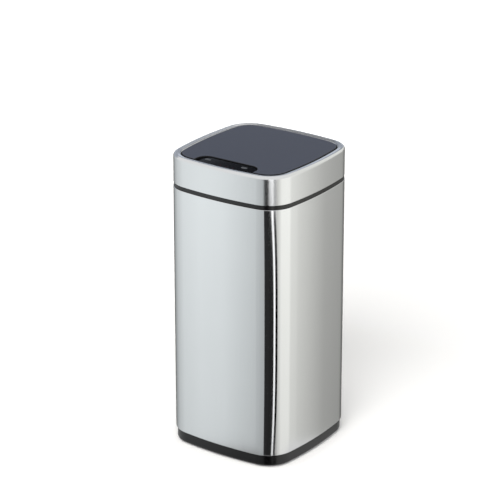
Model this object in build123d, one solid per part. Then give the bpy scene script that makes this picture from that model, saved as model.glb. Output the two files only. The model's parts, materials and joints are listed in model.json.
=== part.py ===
"""Sensor trash can with a lift-off powered head, modelled piece by piece.

Millimetres, +Z up, origin at the middle of the base's underside, sensor side towards -Y.
"""
from build123d import *
import os
from collections import namedtuple
from math import acos, atan2, ceil, cos, degrees, hypot, pi, radians, sin, sqrt, tan

# Plan outline: a square with bulged sides and round corners
width = 300.0
side_radius = 766.0
corner_radius = 60.0

# Heights of the visible bands
height = 646.0
base_height = 27.6
band_height = 9.6
collar_height = 61.1
foot_stand = 1.5

# Stock and clearances
sheet = 1.0
plastic = 2.5
thin_plastic = 2.0
running = 0.05
seat = 0.02
loose = 0.3
hair = 0.01

# Steel shell and black base
hem_width = 6.0
foot_hem = 9.0
shell_round = 0.8
base_inset = 2.85
base_round = 5.0
base_floor = 4.0
pad_radius = 11.0
pad_height = 3.0
pad_from_side = 52.0
base_screw_from_side = 72.0
base_boss_radius = 6.5
base_boss_height = 18.0
tray_inset = 1.5
tray_height = 20.0
tray_rib_count = 4
tray_rib_height = 3.0

# Screws
screw_radius = 1.6
screw_head_radius = 3.4
screw_head_height = 2.2
small_screw_radius = 1.1
small_head_radius = 2.2
small_head_height = 1.2

# Bag ring
ring_flange_inset = 3.0
ring_wall_inset = 6.6
ring_wall = 2.0
ring_flange = 1.5
ring_depth = 40.0
ring_round = 0.6

# Head collar
collar_inset = 0.3
rim_width = 16.3
rim_round = 5.5
lip_depth = 8.0
lip_round = 0.8

# Head frame
band_inset = 0.9
band_round = 0.7
drip_lip = 1.7
skirt_inset = 9.2
skirt_depth = 30.0
spigot_inset = 1.6
spigot_height = 12.0
well_inset = 13.0
well_wall = 2.3
deck_below_lid = 2.5
chute_from_side = 38.0
chute_from_front = 66.0
chute_to_pocket = 32.0
chute_corner = 32.0
chute_drop = 22.0
pocket_to_hinge = 12.0
pocket_space = 1.5
loom_hole_radius = 7.0

# Lid
lid_gap = 1.5
lid_below_rim = 1.5
lid_skin = 2.5
lid_skirt = 2.0
lid_depth = 8.0
lid_round = 1.2
liner_thickness = 2.0
liner_gap = 0.3
liner_recess = 0.8
liner_border = 30.0
lid_screw_from_side = 40.0
lid_screw_from_front = 55.0
lid_screw_from_back = 38.0
lid_screw_back_spread = 120.0
lid_opening_angle = 72.0

# Hinge
hinge_from_back = 64.0
hinge_below_lid_top = 9.0
shaft_radius = 2.0
shaft_from_side = 30.0
knuckle_radius = 4.5
knuckle_gap = 2.0
knuckle_length = 8.0
ear_from_side = 47.0
ear_thickness = 6.0
ear_radius = 5.5
ear_web_height = 7.0
bush_radius = 3.4
bush_flange_radius = 4.5
bush_flange = 0.8
ear_window = 7.0

# Sensor console
console_left_margin = 78.0
console_right_margin = 79.0
console_reach = 54.0
console_corner = 21.0
console_below_rim = 3.0
console_fall = 5.0
console_skin = 3.0
console_round = 0.6
board_below = 9.0
board_thickness = 1.6
board_margin = 13.5
board_width = 18.0
board_y = 1.0
board_screw_margin = 4.0
board_screw_y = -5.0

# Keys on the console
key_length = 15.0
key_width = 6.4
key_proud = 0.4
key_flange = 1.2
key_flange_thickness = 1.0
key_travel = 0.8
key_y = 7.5
open_key_margin = 34.0
close_key_margin = 18.0
switch_size = 6.0
switch_body = 2.6
switch_stem_radius = 1.7
diode_radius = 2.5
diode_xs = (-16.0, 0.0, 16.0)
diode_y = -4.0

# Gear train: teeth, modules and the directions from axis to axis in the Y-Z plane
pressure_angle = 25.0
addendum = 0.8
dedendum = 1.05
tooth_thinning = 0.10
flank_steps = 3
sector_module = 1.0
sector_teeth = 56
sector_spare_teeth = 1
low_pinion_teeth = 12
low_module = 0.8
low_wheel_teeth = 36
high_pinion_teeth = 12
high_module = 0.6
high_wheel_teeth = 40
motor_pinion_teeth = 10
sector_to_low = 246.0
low_to_high = 235.0
high_to_motor = 290.0

# Gear train: widths and clearances along X
gearbox_from_side = 28.0
gearbox_width = 25.0
cheek = 2.0
case_wall = 1.8
case_space = 1.2
sector_face = 6.0
sector_from_cheek = 2.0
low_pinion_face = 7.0
low_wheel_face = 4.0
high_pinion_face = 5.0
high_wheel_face = 3.0
motor_pinion_face = 4.0
wheel_gap = 0.5
axle_radius = 1.5
sector_hub_radius = 6.0
sector_rim = 4.0
sector_pad_back = 16.0
sector_sweep_space = 1.4

# Motor
motor_radius = 10.0
motor_flats = 15.0
motor_length = 25.0
motor_boss_radius = 3.0
motor_boss_height = 1.6
motor_shaft_radius = 1.0
motor_tail = 1.5

# Gearbox lugs
lug_width = 9.0
lug_thickness = 2.5
lug_reach = 5.0
lugs_before_hinge = (30.0, 6.0)

# Battery compartment
cell_radius = 13.1
cell_length = 48.5
cell_nub_radius = 3.0
cell_nub = 1.5
cell_pitch = 27.4
cell_rows = 2
spring_gap = 8.0
contact_plate = 0.5
battery_wall = 2.0
battery_left = -31.0
battery_before_pocket = 10.0
battery_top_gap = 0.3
cell_space = 0.4
battery_tab_margin = 11.0
battery_side_tab = 31.0
door_thickness = 2.0
door_pin_radius = 1.25
door_pin_wall = 1.5
door_hinge_gap = 3.2
door_ear_length = 5.0
finger_width = 16.0

# Power rocker
switch_from_side = 45.0
switch_before_pocket = 12.0
switch_housing_length = 18.0
switch_housing_width = 16.0
switch_housing_height = 14.0
switch_wall = 2.0
rocker_length = 12.0
rocker_half = 5.2
rocker_edge = 3.0
rocker_valley = 1.6
rocker_back = 4.0
rocker_pin_radius = 1.0
rocker_tilt = 10.0

# Wiring
loom_radius = 1.6
loom_arc_share = 0.45
loom_route = (
    (-31.4, 104.0, 571.0),
    (-58.0, 104.0, 570.0),
    (-92.0, 101.0, 569.0),
    (-121.0, 88.0, 569.0),
    (-129.0, 52.0, 570.0),
    (-130.0, 2.0, 571.0),
    (-128.0, -48.0, 571.0),
    (-116.0, -92.0, 571.0),
    (-84.0, -113.0, 572.0),
    (-55.0, -114.0, 582.0),
    (-45.0, -113.0, 604.0),
    (-44.0, -111.0, 624.8),
)

# Bumpers on the deck
bumper_radius = 3.5
bumper_gap = 0.3
bumper_from_side = 28.0
bumper_behind_chute_front = 20.0
bumper_before_chute_back = 12.0

# Derived places across the bin
half_width = width / 2
pad_reach = half_width - pad_from_side
base_screw_reach = half_width - base_screw_from_side
hinge_y = half_width - hinge_from_back
pocket_front = hinge_y - pocket_to_hinge
chute_width = width - 2 * chute_from_side
chute_front = chute_from_front - half_width
chute_back = pocket_front - chute_to_pocket
chute_depth = chute_back - chute_front
chute_middle = (chute_back + chute_front) / 2
shaft_length = width - 2 * shaft_from_side
ear_reach = half_width - ear_from_side
knuckle_starts = (
    knuckle_gap - ear_reach,
    ear_reach - 2 * knuckle_gap - knuckle_length,
    ear_reach + ear_thickness + knuckle_gap,
)
console_left = console_left_margin - half_width
console_right = half_width - console_right_margin
console_back = console_reach - half_width
board_length = console_right - console_left - 2 * board_margin
board_screw_x = board_length / 2 - board_screw_margin
open_key_x = console_right - open_key_margin
close_key_x = console_left + close_key_margin
gearbox_outer_x = gearbox_from_side - half_width
gearbox_inner_x = gearbox_outer_x + gearbox_width
sector_x = gearbox_outer_x + cheek + sector_from_cheek
lug_x = gearbox_outer_x - lug_reach
battery_front = pocket_front - battery_before_pocket
switch_x = half_width - switch_from_side
switch_y = pocket_front - switch_before_pocket
bumper_x = half_width - bumper_from_side
bumper_ys = (chute_front + bumper_behind_chute_front, chute_back - bumper_before_chute_back)

# Derived heights
collar_bottom = height - collar_height
shell_top = collar_bottom - band_height
lid_top = height - lid_below_rim
lid_bottom = lid_top - lid_depth
hinge_z = lid_top - hinge_below_lid_top
deck_top = lid_bottom - deck_below_lid
deck_bottom = deck_top - plastic
ring_top = shell_top + ring_flange
shelf_bottom = collar_bottom - plastic
tray_floor = base_height + sheet
lip_inset = collar_inset + rim_width
lid_inset = lip_inset + lid_gap
well_inner = well_inset + well_wall
skirt_inner = skirt_inset + plastic
bumper_height = lid_bottom - bumper_gap - deck_top
console_back_height = height - console_below_rim
pocket_reach = hypot(half_width - lid_inset - hinge_y, hinge_below_lid_top) + pocket_space
pocket_bottom = hinge_z - pocket_reach - plastic
sector_travel_teeth = ceil(lid_opening_angle * sector_teeth / 360)
over = 1.0


def arc_places():
    """Distance from the axis to a side arc's centre, and to a corner arc's centre along X or Y."""
    reach = side_radius - half_width
    apart = side_radius - corner_radius
    return reach, (sqrt(2 * apart ** 2 - reach ** 2) - reach) / 2


def outline(inset, z=0.0):
    """Plan outline of the bin, moved inwards by inset, as a face at height z."""
    reach, centre = arc_places()
    half_sweep = degrees(atan2(centre, centre + reach))
    arcs = []
    for turn in (0, 90, 180, 270):
        side = CenterArc((-reach, 0), side_radius - inset, -half_sweep, 2 * half_sweep)
        corner = CenterArc((centre, centre), corner_radius - inset, half_sweep, 90 - 2 * half_sweep)
        arcs += [Rot(0, 0, turn) * side, Rot(0, 0, turn) * corner]
    return Pos(0, 0, z) * make_face(arcs)


def inset_of(point):
    """How far inside the plan outline a point lies."""
    reach, centre = arc_places()
    along = max(abs(point.X), abs(point.Y))
    across = min(abs(point.X), abs(point.Y))
    if atan2(across, along + reach) < atan2(centre, centre + reach):
        return side_radius - hypot(along + reach, across)
    return corner_radius - hypot(along - centre, across - centre)


def edges_at(solid, inset, z):
    """Edges of a solid that run along the outline at this inset and height."""
    def runs_there(edge):
        middle = edge @ 0.5
        return abs(middle.Z - z) < hair and abs(inset_of(middle) - inset) < hair
    return solid.edges().filter_by(runs_there)


def prism(inset, low, high):
    """Solid of the plan outline between two heights."""
    return extrude(outline(inset, low), high - low, dir=(0, 0, 1))


def ring(outer, inner, low, high):
    """Wall between two insets and two heights."""
    return prism(outer, low, high) - prism(inner, low - over, high + over)


def block(x_low, x_high, y_low, y_high, z_low, z_high):
    """Box given by its faces."""
    corner = Pos(x_low, y_low, z_low)
    return corner * Box(x_high - x_low, y_high - y_low, z_high - z_low, align=(Align.MIN,) * 3)


def post(radius, x, y, low, high):
    """Upright round bar."""
    bar = Cylinder(radius, high - low, align=(Align.CENTER, Align.CENTER, Align.MIN))
    return Pos(x, y, low) * bar


def bar_x(radius, low, high, y, z):
    """Round bar along X."""
    bar = Cylinder(radius, high - low, align=(Align.CENTER, Align.CENTER, Align.MIN))
    return Pos(low, y, z) * Rot(0, 90, 0) * bar


def side_plane(x):
    """Sketch plane across X, with its own x along Y and its own y along Z."""
    return Plane(origin=(x, 0, 0), x_dir=(0, 1, 0), z_dir=(1, 0, 0))


def side_slab(profile, low, high):
    """Profile drawn in Y and Z, as a slab between two places along X."""
    return extrude(side_plane(low) * profile, high - low, dir=(1, 0, 0))


def screw(x, y, z, length, radius=screw_radius, head_radius=screw_head_radius, head=screw_head_height):
    """Screw driven upwards, with the underside of its head at height z."""
    return post(radius, x, y, z, z + length) + post(head_radius, x, y, z - head, z)


def along(start, distance, angle):
    """Point in the Y-Z plane at a distance and an angle from another."""
    return start[0] + distance * cos(radians(angle)), start[1] + distance * sin(radians(angle))


hinge_axis = (hinge_y, hinge_z)
low_axis = along(hinge_axis, sector_module * (sector_teeth + low_pinion_teeth) / 2, sector_to_low)
high_axis = along(low_axis, low_module * (low_wheel_teeth + high_pinion_teeth) / 2, low_to_high)
motor_axis = along(high_axis, high_module * (high_wheel_teeth + motor_pinion_teeth) / 2, high_to_motor)


def four_corners(reach):
    """The four places at the same distance from both centre planes."""
    return [(x, y) for x in (-reach, reach) for y in (-reach, reach)]


def body_shell():
    """Steel tube with a hem turned in at the top and at the bottom."""
    tube = prism(0, base_height, shell_top)
    tube = fillet(edges_at(tube, 0, base_height) + edges_at(tube, 0, shell_top), shell_round)
    tube -= prism(sheet, base_height + sheet, shell_top - sheet)
    tube -= prism(hem_width, shell_top - sheet - over, shell_top + over)
    return tube - prism(foot_hem, base_height - over, base_height + sheet + over)


def base_ring():
    """Black base: an open cup with a round foot, screw bosses and seats for the pads."""
    cup = prism(base_inset, foot_stand, base_height)
    cup = fillet(edges_at(cup, base_inset, foot_stand), base_round)
    floor_top = foot_stand + base_floor
    cup -= prism(base_inset + plastic, floor_top, base_height + over)
    boss_top = foot_stand + base_boss_height
    for x, y in four_corners(base_screw_reach):
        cup += post(base_boss_radius, x, y, foot_stand, boss_top)
        cup -= post(screw_radius + running, x, y, foot_stand - over, boss_top + over)
        cup -= post(screw_head_radius + loose, x, y, foot_stand - over, foot_stand + base_floor)
    for x, y in four_corners(pad_reach):
        cup -= post(pad_radius + loose, x, y, foot_stand - over, pad_height)
    return cup


def foot_pads():
    """Four round rubber pads, glued into the base."""
    pads = [post(pad_radius, x, y, 0, pad_height) for x, y in four_corners(pad_reach)]
    return [fillet(pad.edges().group_by(Axis.Z)[0], sheet) for pad in pads]


def base_tray():
    """Inner floor that clamps the shell's hem to the base."""
    tray = prism(tray_inset, tray_floor, tray_floor + tray_height)
    tray -= prism(tray_inset + thin_plastic, tray_floor + plastic, tray_floor + tray_height + over)
    rib_low = tray_floor - tray_rib_height
    rib_span = 2 * base_screw_reach
    for step in range(tray_rib_count):
        place = -base_screw_reach + step * rib_span / (tray_rib_count - 1)
        half = thin_plastic / 2
        tray += block(place - half, place + half, -base_screw_reach, base_screw_reach, rib_low, tray_floor)
        tray += block(-base_screw_reach, base_screw_reach, place - half, place + half, rib_low, tray_floor)
    boss_low = foot_stand + base_boss_height
    for x, y in four_corners(base_screw_reach):
        tray += post(base_boss_radius, x, y, boss_low, tray_floor)
        tray -= post(screw_radius + seat, x, y, boss_low - over, tray_floor)
    return tray


def base_screws():
    """Four screws from below, through the base into the tray."""
    seat_z = foot_stand + base_floor
    length = tray_floor - loose - seat_z
    return [screw(x, y, seat_z, length) for x, y in four_corners(base_screw_reach)]


def bag_ring():
    """Ring that holds the bag's folded edge, hung on the shell's top hem."""
    inner = ring_wall_inset + ring_wall
    hoop = ring(ring_wall_inset, inner, shell_top - ring_depth, ring_top)
    hoop += ring(ring_flange_inset, inner, shell_top, ring_top)
    return fillet(edges_at(hoop, inner, shell_top - ring_depth), ring_round)


def rounded_cap(inset, low, high, radius):
    """Solid of the plan outline with its top edge rounded."""
    cap = prism(inset, low, high)
    return fillet(edges_at(cap, inset, high), radius)


def head_collar():
    """Steel collar with a rolled rim and an inner lip turned down round the lid."""
    skin = rounded_cap(collar_inset, collar_bottom, height, rim_round)
    skin -= rounded_cap(collar_inset + sheet, collar_bottom - over, height - sheet, rim_round - sheet)
    skin -= prism(lip_inset, height - lip_depth, height + over)
    skin += ring(lip_inset - sheet, lip_inset, height - lip_depth, height)
    return fillet(edges_at(skin, lip_inset, height), lip_round)


def chute_plan(grow, z):
    """Plan of the waste chute, grown outwards."""
    plan = RectangleRounded(chute_width + 2 * grow, chute_depth + 2 * grow, chute_corner + grow)
    return Pos(0, chute_middle, z) * plan


def chute_prism(grow, low, high):
    """Solid of the waste chute's plan between two heights."""
    return extrude(chute_plan(grow, low), high - low, dir=(0, 0, 1))


def console_plan(grow, z, front_inset):
    """Plan of the console: straight sides, round back corners and the lid's own front curve."""
    front = -half_width
    back = console_back + grow
    left, right = console_left - grow, console_right + grow
    corner = console_corner + grow
    path = FilletPolyline(
        (left, front), (left, back), (right, back), (right, front),
        radius=corner,
    )
    face = make_face(path.edges() + [Line((right, front), (left, front))])
    return Pos(0, 0, z) * (face & outline(front_inset))


def console_prism(grow, low, high, front_inset=lid_inset):
    """Solid of the console's plan between two heights."""
    return extrude(console_plan(grow, low, front_inset), high - low, dir=(0, 0, 1))


console_front = lid_inset - half_width
console_run = console_back - console_front
console_slope = degrees(atan2(console_fall, console_run))
console_place = Pos(0, (console_back + console_front) / 2, console_back_height - console_fall / 2)
console_place = console_place * Rot(console_slope, 0, 0)


def pocket_wall():
    """Curved trough behind and below the hinge, which the lid's rear edge dips into."""
    trough = bar_x(pocket_reach + plastic, -half_width, half_width, *hinge_axis)
    trough -= bar_x(pocket_reach, -half_width - over, half_width + over, *hinge_axis)
    trough &= block(-half_width, half_width, hinge_y, half_width, pocket_bottom, hinge_z)
    floor_top = pocket_bottom + plastic
    trough += block(-half_width, half_width, pocket_front, hinge_y, pocket_bottom, floor_top)
    trough += block(-half_width, half_width, pocket_front, pocket_front + plastic, pocket_bottom, deck_top)
    return trough & prism(well_inset + seat, pocket_bottom - over, deck_top + over)


def ear(x):
    """Bearing ear for the hinge shaft, carried by the pocket's front wall."""
    eye = bar_x(ear_radius, x, x + ear_thickness, *hinge_axis)
    web = block(x, x + ear_thickness, pocket_front, hinge_y, deck_top - ear_web_height, deck_top)
    bore = bar_x(bush_radius + seat, x - over, x + ear_thickness + over, *hinge_axis)
    return eye + web - bore


def gearbox_profile(grow):
    """Outline of the gearbox in the Y-Z plane, wrapped round its three axes."""
    low_tip = low_module * (low_wheel_teeth / 2 + addendum)
    high_tip = high_module * (high_wheel_teeth / 2 + addendum)
    motor_tip = high_module * (motor_pinion_teeth / 2 + addendum)
    rounds = [
        Pos(*low_axis) * Circle(low_tip + case_space + grow),
        Pos(*high_axis) * Circle(high_tip + case_space + grow),
        Pos(*motor_axis) * Circle(motor_tip + 2 * case_space + grow),
    ]
    return make_hull([edge for disc in rounds for edge in disc.edges()])


def sector_sweep(side):
    """Room that the gear sector needs, with side clearance along X."""
    tip = sector_module * (sector_teeth / 2 + addendum) + sector_sweep_space
    return bar_x(tip, sector_x - side, sector_x + sector_face + side, *hinge_axis)


Faces = namedtuple("Faces", "x_low x_high y_low y_high z_low z_high")


def battery_faces():
    """Outer faces of the battery box."""
    long_way = 2 * (cell_length + cell_nub) + spring_gap + 2 * contact_plate
    wide_way = cell_rows * cell_pitch + cell_space
    right = battery_left + long_way + 2 * battery_wall
    back = battery_front + wide_way + 2 * battery_wall
    top = pocket_bottom - battery_top_gap
    low = top - battery_wall - 2 * cell_radius - 2 * cell_space
    return Faces(battery_left, right, battery_front, back, low, top)


def head_screw_places():
    """Places of the head's screws: X, Y and the height that each one's head bears on."""
    lug_low = shelf_bottom - lug_thickness
    faces = battery_faces()
    places = [(lug_x, hinge_y - before, lug_low) for before in lugs_before_hinge]
    for x in (faces.x_low + battery_tab_margin, faces.x_high - battery_tab_margin):
        places.append((x, faces.y_low - lug_width / 2, lug_low))
    places.append((faces.x_high + lug_width / 2, faces.y_low + battery_side_tab, lug_low))
    return places


def head_frame():
    """Moulded frame of the head: band, skirt, spigot, lid well, deck, chute and hinge pocket."""
    band = prism(band_inset, ring_top, collar_bottom)
    band += prism(band_inset, shell_top + loose, ring_top)
    band = fillet(edges_at(band, band_inset, shell_top + loose), band_round)
    band -= prism(band_inset + drip_lip, shell_top, ring_top)
    band -= prism(skirt_inner, ring_top - over, collar_bottom + over)
    frame = band + ring(skirt_inset, skirt_inner, shell_top - skirt_depth, collar_bottom)
    frame += ring(spigot_inset, spigot_inset + plastic, collar_bottom - plastic, collar_bottom + spigot_height)
    frame += ring(well_inset, well_inner, shelf_bottom, height - sheet - loose)
    frame += prism(skirt_inset, shelf_bottom, collar_bottom) - block(
        -width, width, pocket_front, width, shelf_bottom - over, collar_bottom + over)
    frame += ring(skirt_inset, well_inner, shelf_bottom, collar_bottom)
    frame += prism(well_inset, deck_bottom, deck_top) - block(
        -width, width, pocket_front, width, deck_bottom - over, deck_top + over)
    frame += pocket_wall()
    frame += chute_prism(plastic, shell_top - chute_drop, deck_top)
    frame -= chute_prism(0, shell_top - chute_drop - over, deck_top + over)
    frame -= console_prism(loose, deck_bottom - over, deck_top + over, well_inner)
    frame -= side_slab(gearbox_profile(case_wall + loose), gearbox_outer_x - loose, gearbox_inner_x + loose)
    frame -= sector_sweep(over)
    frame += ear(ear_reach) + ear(-ear_reach - ear_thickness)
    faces = battery_faces()
    frame -= block(faces.x_low - loose, faces.x_high + loose, faces.y_low - loose, faces.y_high + loose,
                   faces.z_low, faces.z_high + hair)
    frame -= post(loom_hole_radius, loom_route[-3][0], loom_route[-3][1], shelf_bottom - over, collar_bottom + over)
    for x, y, z in head_screw_places():
        boss_top = z + lug_thickness + plastic + thin_plastic
        frame += post(screw_head_radius, x, y, z + lug_thickness, boss_top)
        frame -= post(screw_radius + seat, x, y, z, boss_top - sheet)
    return frame


def lid_bumpers():
    """Rubber rests on the deck for the closed lid."""
    spots = [(x, y) for x in (-bumper_x, bumper_x) for y in bumper_ys]
    return [post(bumper_radius, x, y, deck_top, deck_top + bumper_height) for x, y in spots]


def on_console_face(edge):
    """Whether an edge lies in the console's sloping face."""
    middle = edge @ 0.5
    face_z = console_back_height - console_fall * (console_back - middle.Y) / console_run
    return abs(middle.Z - face_z) < hair


def sensor_console():
    """Glossy panel in the lid's notch, sloping down to the front, with two key windows."""
    size = 2 * width
    low = deck_bottom
    panel = console_prism(0, low, height)
    above = console_place * Pos(0, 0, size / 2) * Box(size, size, size)
    panel -= above
    panel = fillet(panel.edges().filter_by(on_console_face), console_round)
    inside = console_prism(-thin_plastic, low - over, height, lid_inset + thin_plastic)
    inside -= console_place * Pos(0, 0, size / 2 - console_skin) * Box(size, size, size)
    panel -= inside
    for x in (open_key_x, close_key_x):
        panel -= key_prism(x, loose, -2 * console_skin, console_skin)
    boss_low = -board_below
    for x in (-board_screw_x, board_screw_x):
        panel += console_place * post(small_head_radius, x, board_screw_y, boss_low, -console_skin)
        panel -= console_place * post(small_screw_radius + seat, x, board_screw_y, boss_low - over, -console_skin)
    return panel


def key_prism(x, grow, low, high):
    """Rounded bar of a key, square to the console's face."""
    plan = SlotOverall(key_length + 2 * grow, key_width + 2 * grow)
    return console_place * Pos(x, key_y, low) * extrude(plan, high - low, dir=(0, 0, 1))


def key(x):
    """Sprung key with a flange that holds it in its window."""
    flange_top = -console_skin - loose
    body = key_prism(x, 0, flange_top - key_flange_thickness, key_proud)
    body += key_prism(x, key_flange, flange_top - key_flange_thickness, flange_top)
    return body


def control_board():
    """Circuit board hung under the console."""
    board = Box(board_length, board_width, board_thickness)
    board = console_place * Pos(0, board_y, -board_below - board_thickness / 2) * board
    for x in (-board_screw_x, board_screw_x):
        board -= console_place * post(small_screw_radius + running, x, board_screw_y, -2 * board_below, 0)
    return board


def console_screws():
    """Two small screws that hold the board to the console."""
    low = -board_below - board_thickness
    length = board_thickness + board_below - console_skin - loose
    screws = []
    for x in (-board_screw_x, board_screw_x):
        one = screw(x, board_screw_y, low, length, small_screw_radius, small_head_radius, small_head_height)
        screws.append(console_place * one)
    return screws


def sensor_diodes():
    """Infra-red emitters and the receiver between them, under the panel."""
    diodes = []
    for x in diode_xs:
        stem = post(diode_radius, x, diode_y, -board_below, -console_skin - diode_radius - loose)
        dome = Pos(x, diode_y, -console_skin - diode_radius - loose) * Sphere(diode_radius)
        diodes.append(console_place * (stem + dome))
    return diodes


def board_parts():
    """Key switches on the board's top, with the chip and the connector below it."""
    parts = []
    stem_top = -console_skin - loose - key_flange_thickness - key_travel - hair
    for x in (open_key_x, close_key_x):
        base = Pos(x, key_y, -board_below + switch_body / 2) * Box(switch_size, switch_size, switch_body)
        stem = post(switch_stem_radius, x, key_y, -board_below, stem_top)
        parts.append(console_place * (base + stem))
    below = -board_below - board_thickness
    chip = Pos(0, board_y, below - sheet) * Box(3 * switch_size, 2 * switch_size, 2 * sheet)
    plug = Pos(loom_route[-1][0], board_y, below - plastic) * Box(2 * switch_size, switch_size, 2 * plastic)
    return parts + [console_place * chip, console_place * plug]


def lid_plan(inset, z):
    """Plan of the lid with the console's notch, drawn in from its edge."""
    notch = console_plan(lid_gap + inset, 0, 0)
    return Pos(0, 0, z) * (outline(lid_inset + inset) - notch)


def lid_panel():
    """Top skin of the lid with an edge skirt."""
    panel = extrude(lid_plan(0, lid_bottom), lid_depth, dir=(0, 0, 1))
    panel = fillet(panel.edges().group_by(Axis.Z)[-1], lid_round)
    panel -= extrude(lid_plan(lid_skirt, lid_bottom), lid_depth - lid_skin, dir=(0, 0, 1))
    for x, y in lid_screw_places():
        panel += post(screw_head_radius, x, y, lid_bottom + liner_thickness, lid_top - lid_skin)
        panel -= post(screw_radius + seat, x, y, lid_bottom, lid_top - lid_skin)
    return panel


def lid_screw_places():
    """Places of the screws that join the liner to the lid's skin."""
    side = half_width - lid_screw_from_side
    spots = [(x, y) for x in (-side, side) for y in (lid_screw_from_front - half_width, 0)]
    back = half_width - lid_screw_from_back
    return spots + [(-lid_screw_back_spread / 2, back), (lid_screw_back_spread / 2, back)]


def lid_liner():
    """Inner panel of the lid, with the knuckles that grip the hinge shaft."""
    liner = extrude(lid_plan(lid_skirt + liner_gap, lid_bottom), liner_thickness, dir=(0, 0, 1))
    panel = extrude(lid_plan(liner_border, lid_bottom - over), liner_recess + over, dir=(0, 0, 1))
    liner -= panel & block(-width, width, -width, pocket_front, lid_bottom - over, lid_top)
    half = shaft_length / 2
    liner -= bar_x(shaft_radius + 2 * loose, -half, half, *hinge_axis)
    for x in knuckle_starts:
        liner += bar_x(knuckle_radius, x, x + knuckle_length, *hinge_axis)
    liner -= bar_x(shaft_radius + seat, -half, half, *hinge_axis)
    for x in (ear_reach, -ear_reach - ear_thickness):
        liner -= block(x - over, x + ear_thickness + over, hinge_y - ear_window, hinge_y + ear_window,
                       hinge_z - ear_window, lid_top)
    for x, y in lid_screw_places():
        liner -= post(screw_head_radius + loose, x, y, lid_bottom - over, lid_bottom + sheet)
        liner -= post(screw_radius + running, x, y, lid_bottom, lid_top)
    return liner


def lid_screws():
    """Flat screws that join the liner to the lid's skin."""
    length = lid_depth - lid_skin - sheet - loose
    return [screw(x, y, lid_bottom + sheet, length, head=sheet) for x, y in lid_screw_places()]


def hinge_shaft():
    """Steel shaft that turns with the lid."""
    return bar_x(shaft_radius, -shaft_length / 2, shaft_length / 2, *hinge_axis)


def bush(x, inwards):
    """Flanged bearing bush in an ear."""
    sleeve = bar_x(bush_radius, x, x + ear_thickness, *hinge_axis)
    flange_x = x - bush_flange if inwards > 0 else x + ear_thickness
    sleeve += bar_x(bush_flange_radius, flange_x, flange_x + bush_flange, *hinge_axis)
    bore = bar_x(shaft_radius + running, x - over, x + ear_thickness + over, *hinge_axis)
    return sleeve - bore


def involute(angle):
    """Involute function of an angle in radians."""
    return tan(angle) - angle


def tooth(module, teeth, middle):
    """Outline of one stub involute tooth about the gear's axis, from root to root."""
    pitch = module * teeth / 2
    base = pitch * cos(radians(pressure_angle))
    root = pitch - dedendum * module
    tip = pitch + addendum * module
    half_pitch = pi / (2 * teeth) - tooth_thinning / (2 * pitch) + involute(radians(pressure_angle))
    start = max(base, root)
    flank = []
    for step in range(flank_steps + 1):
        radius = start + (tip - start) * step / flank_steps
        flank.append((radius, half_pitch - involute(acos(min(1.0, base / radius)))))
    if base > root:
        flank = [(root, flank[0][1])] + flank
    turn = radians(middle)
    rising = [(r * cos(turn - a), r * sin(turn - a)) for r, a in flank]
    falling = [(r * cos(turn + a), r * sin(turn + a)) for r, a in reversed(flank)]
    return rising + falling


def gear(module, teeth, middle, axis, low, high):
    """Spur gear between two places along X, with one tooth centred on an angle."""
    points = []
    for count in range(teeth):
        points += tooth(module, teeth, middle + count * 360 / teeth)
    face = make_face(Polyline(*points, close=True))
    return side_slab(Pos(*axis) * face, low, high)


def meshing(direction, teeth):
    """Angle of a tooth of the driven gear that leaves a gap towards the tooth it meshes with."""
    return direction + 180 + 180 / teeth


def axle_bore(axis):
    """Bore for a gear axle, right through the gearbox."""
    return bar_x(axle_radius + running, gearbox_outer_x, gearbox_inner_x, *axis)


pinion_low_x = sector_x - (low_pinion_face - sector_face) / 2
low_wheel_x = pinion_low_x + low_pinion_face + wheel_gap
high_pinion_x = low_wheel_x - (high_pinion_face - low_wheel_face) / 2
high_wheel_x = high_pinion_x + high_pinion_face + wheel_gap
motor_pinion_x = high_wheel_x - (motor_pinion_face - high_wheel_face) / 2


def compound_gear_low():
    """Double gear: pinion under the sector, wheel beside it."""
    pinion = gear(sector_module, low_pinion_teeth, meshing(sector_to_low, low_pinion_teeth),
                  low_axis, pinion_low_x, low_wheel_x)
    wheel = gear(low_module, low_wheel_teeth, low_to_high, low_axis, low_wheel_x, low_wheel_x + low_wheel_face)
    return pinion + wheel - axle_bore(low_axis)


def compound_gear_high():
    """Double gear between the low one and the motor."""
    pinion = gear(low_module, high_pinion_teeth, meshing(low_to_high, high_pinion_teeth),
                  high_axis, high_pinion_x, high_wheel_x)
    wheel = gear(high_module, high_wheel_teeth, high_to_motor, high_axis,
                 high_wheel_x, high_wheel_x + high_wheel_face)
    return pinion + wheel - axle_bore(high_axis)


def motor_pinion():
    """Brass pinion on the motor's shaft."""
    pinion = gear(high_module, motor_pinion_teeth, meshing(high_to_motor, motor_pinion_teeth),
                  motor_axis, motor_pinion_x, motor_pinion_x + motor_pinion_face)
    return pinion - bar_x(motor_shaft_radius + seat, gearbox_outer_x, gearbox_inner_x, *motor_axis)


def motor_shaft():
    """Steel shaft of the motor."""
    return bar_x(motor_shaft_radius, motor_pinion_x, gearbox_inner_x + motor_length - motor_tail, *motor_axis)


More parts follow.
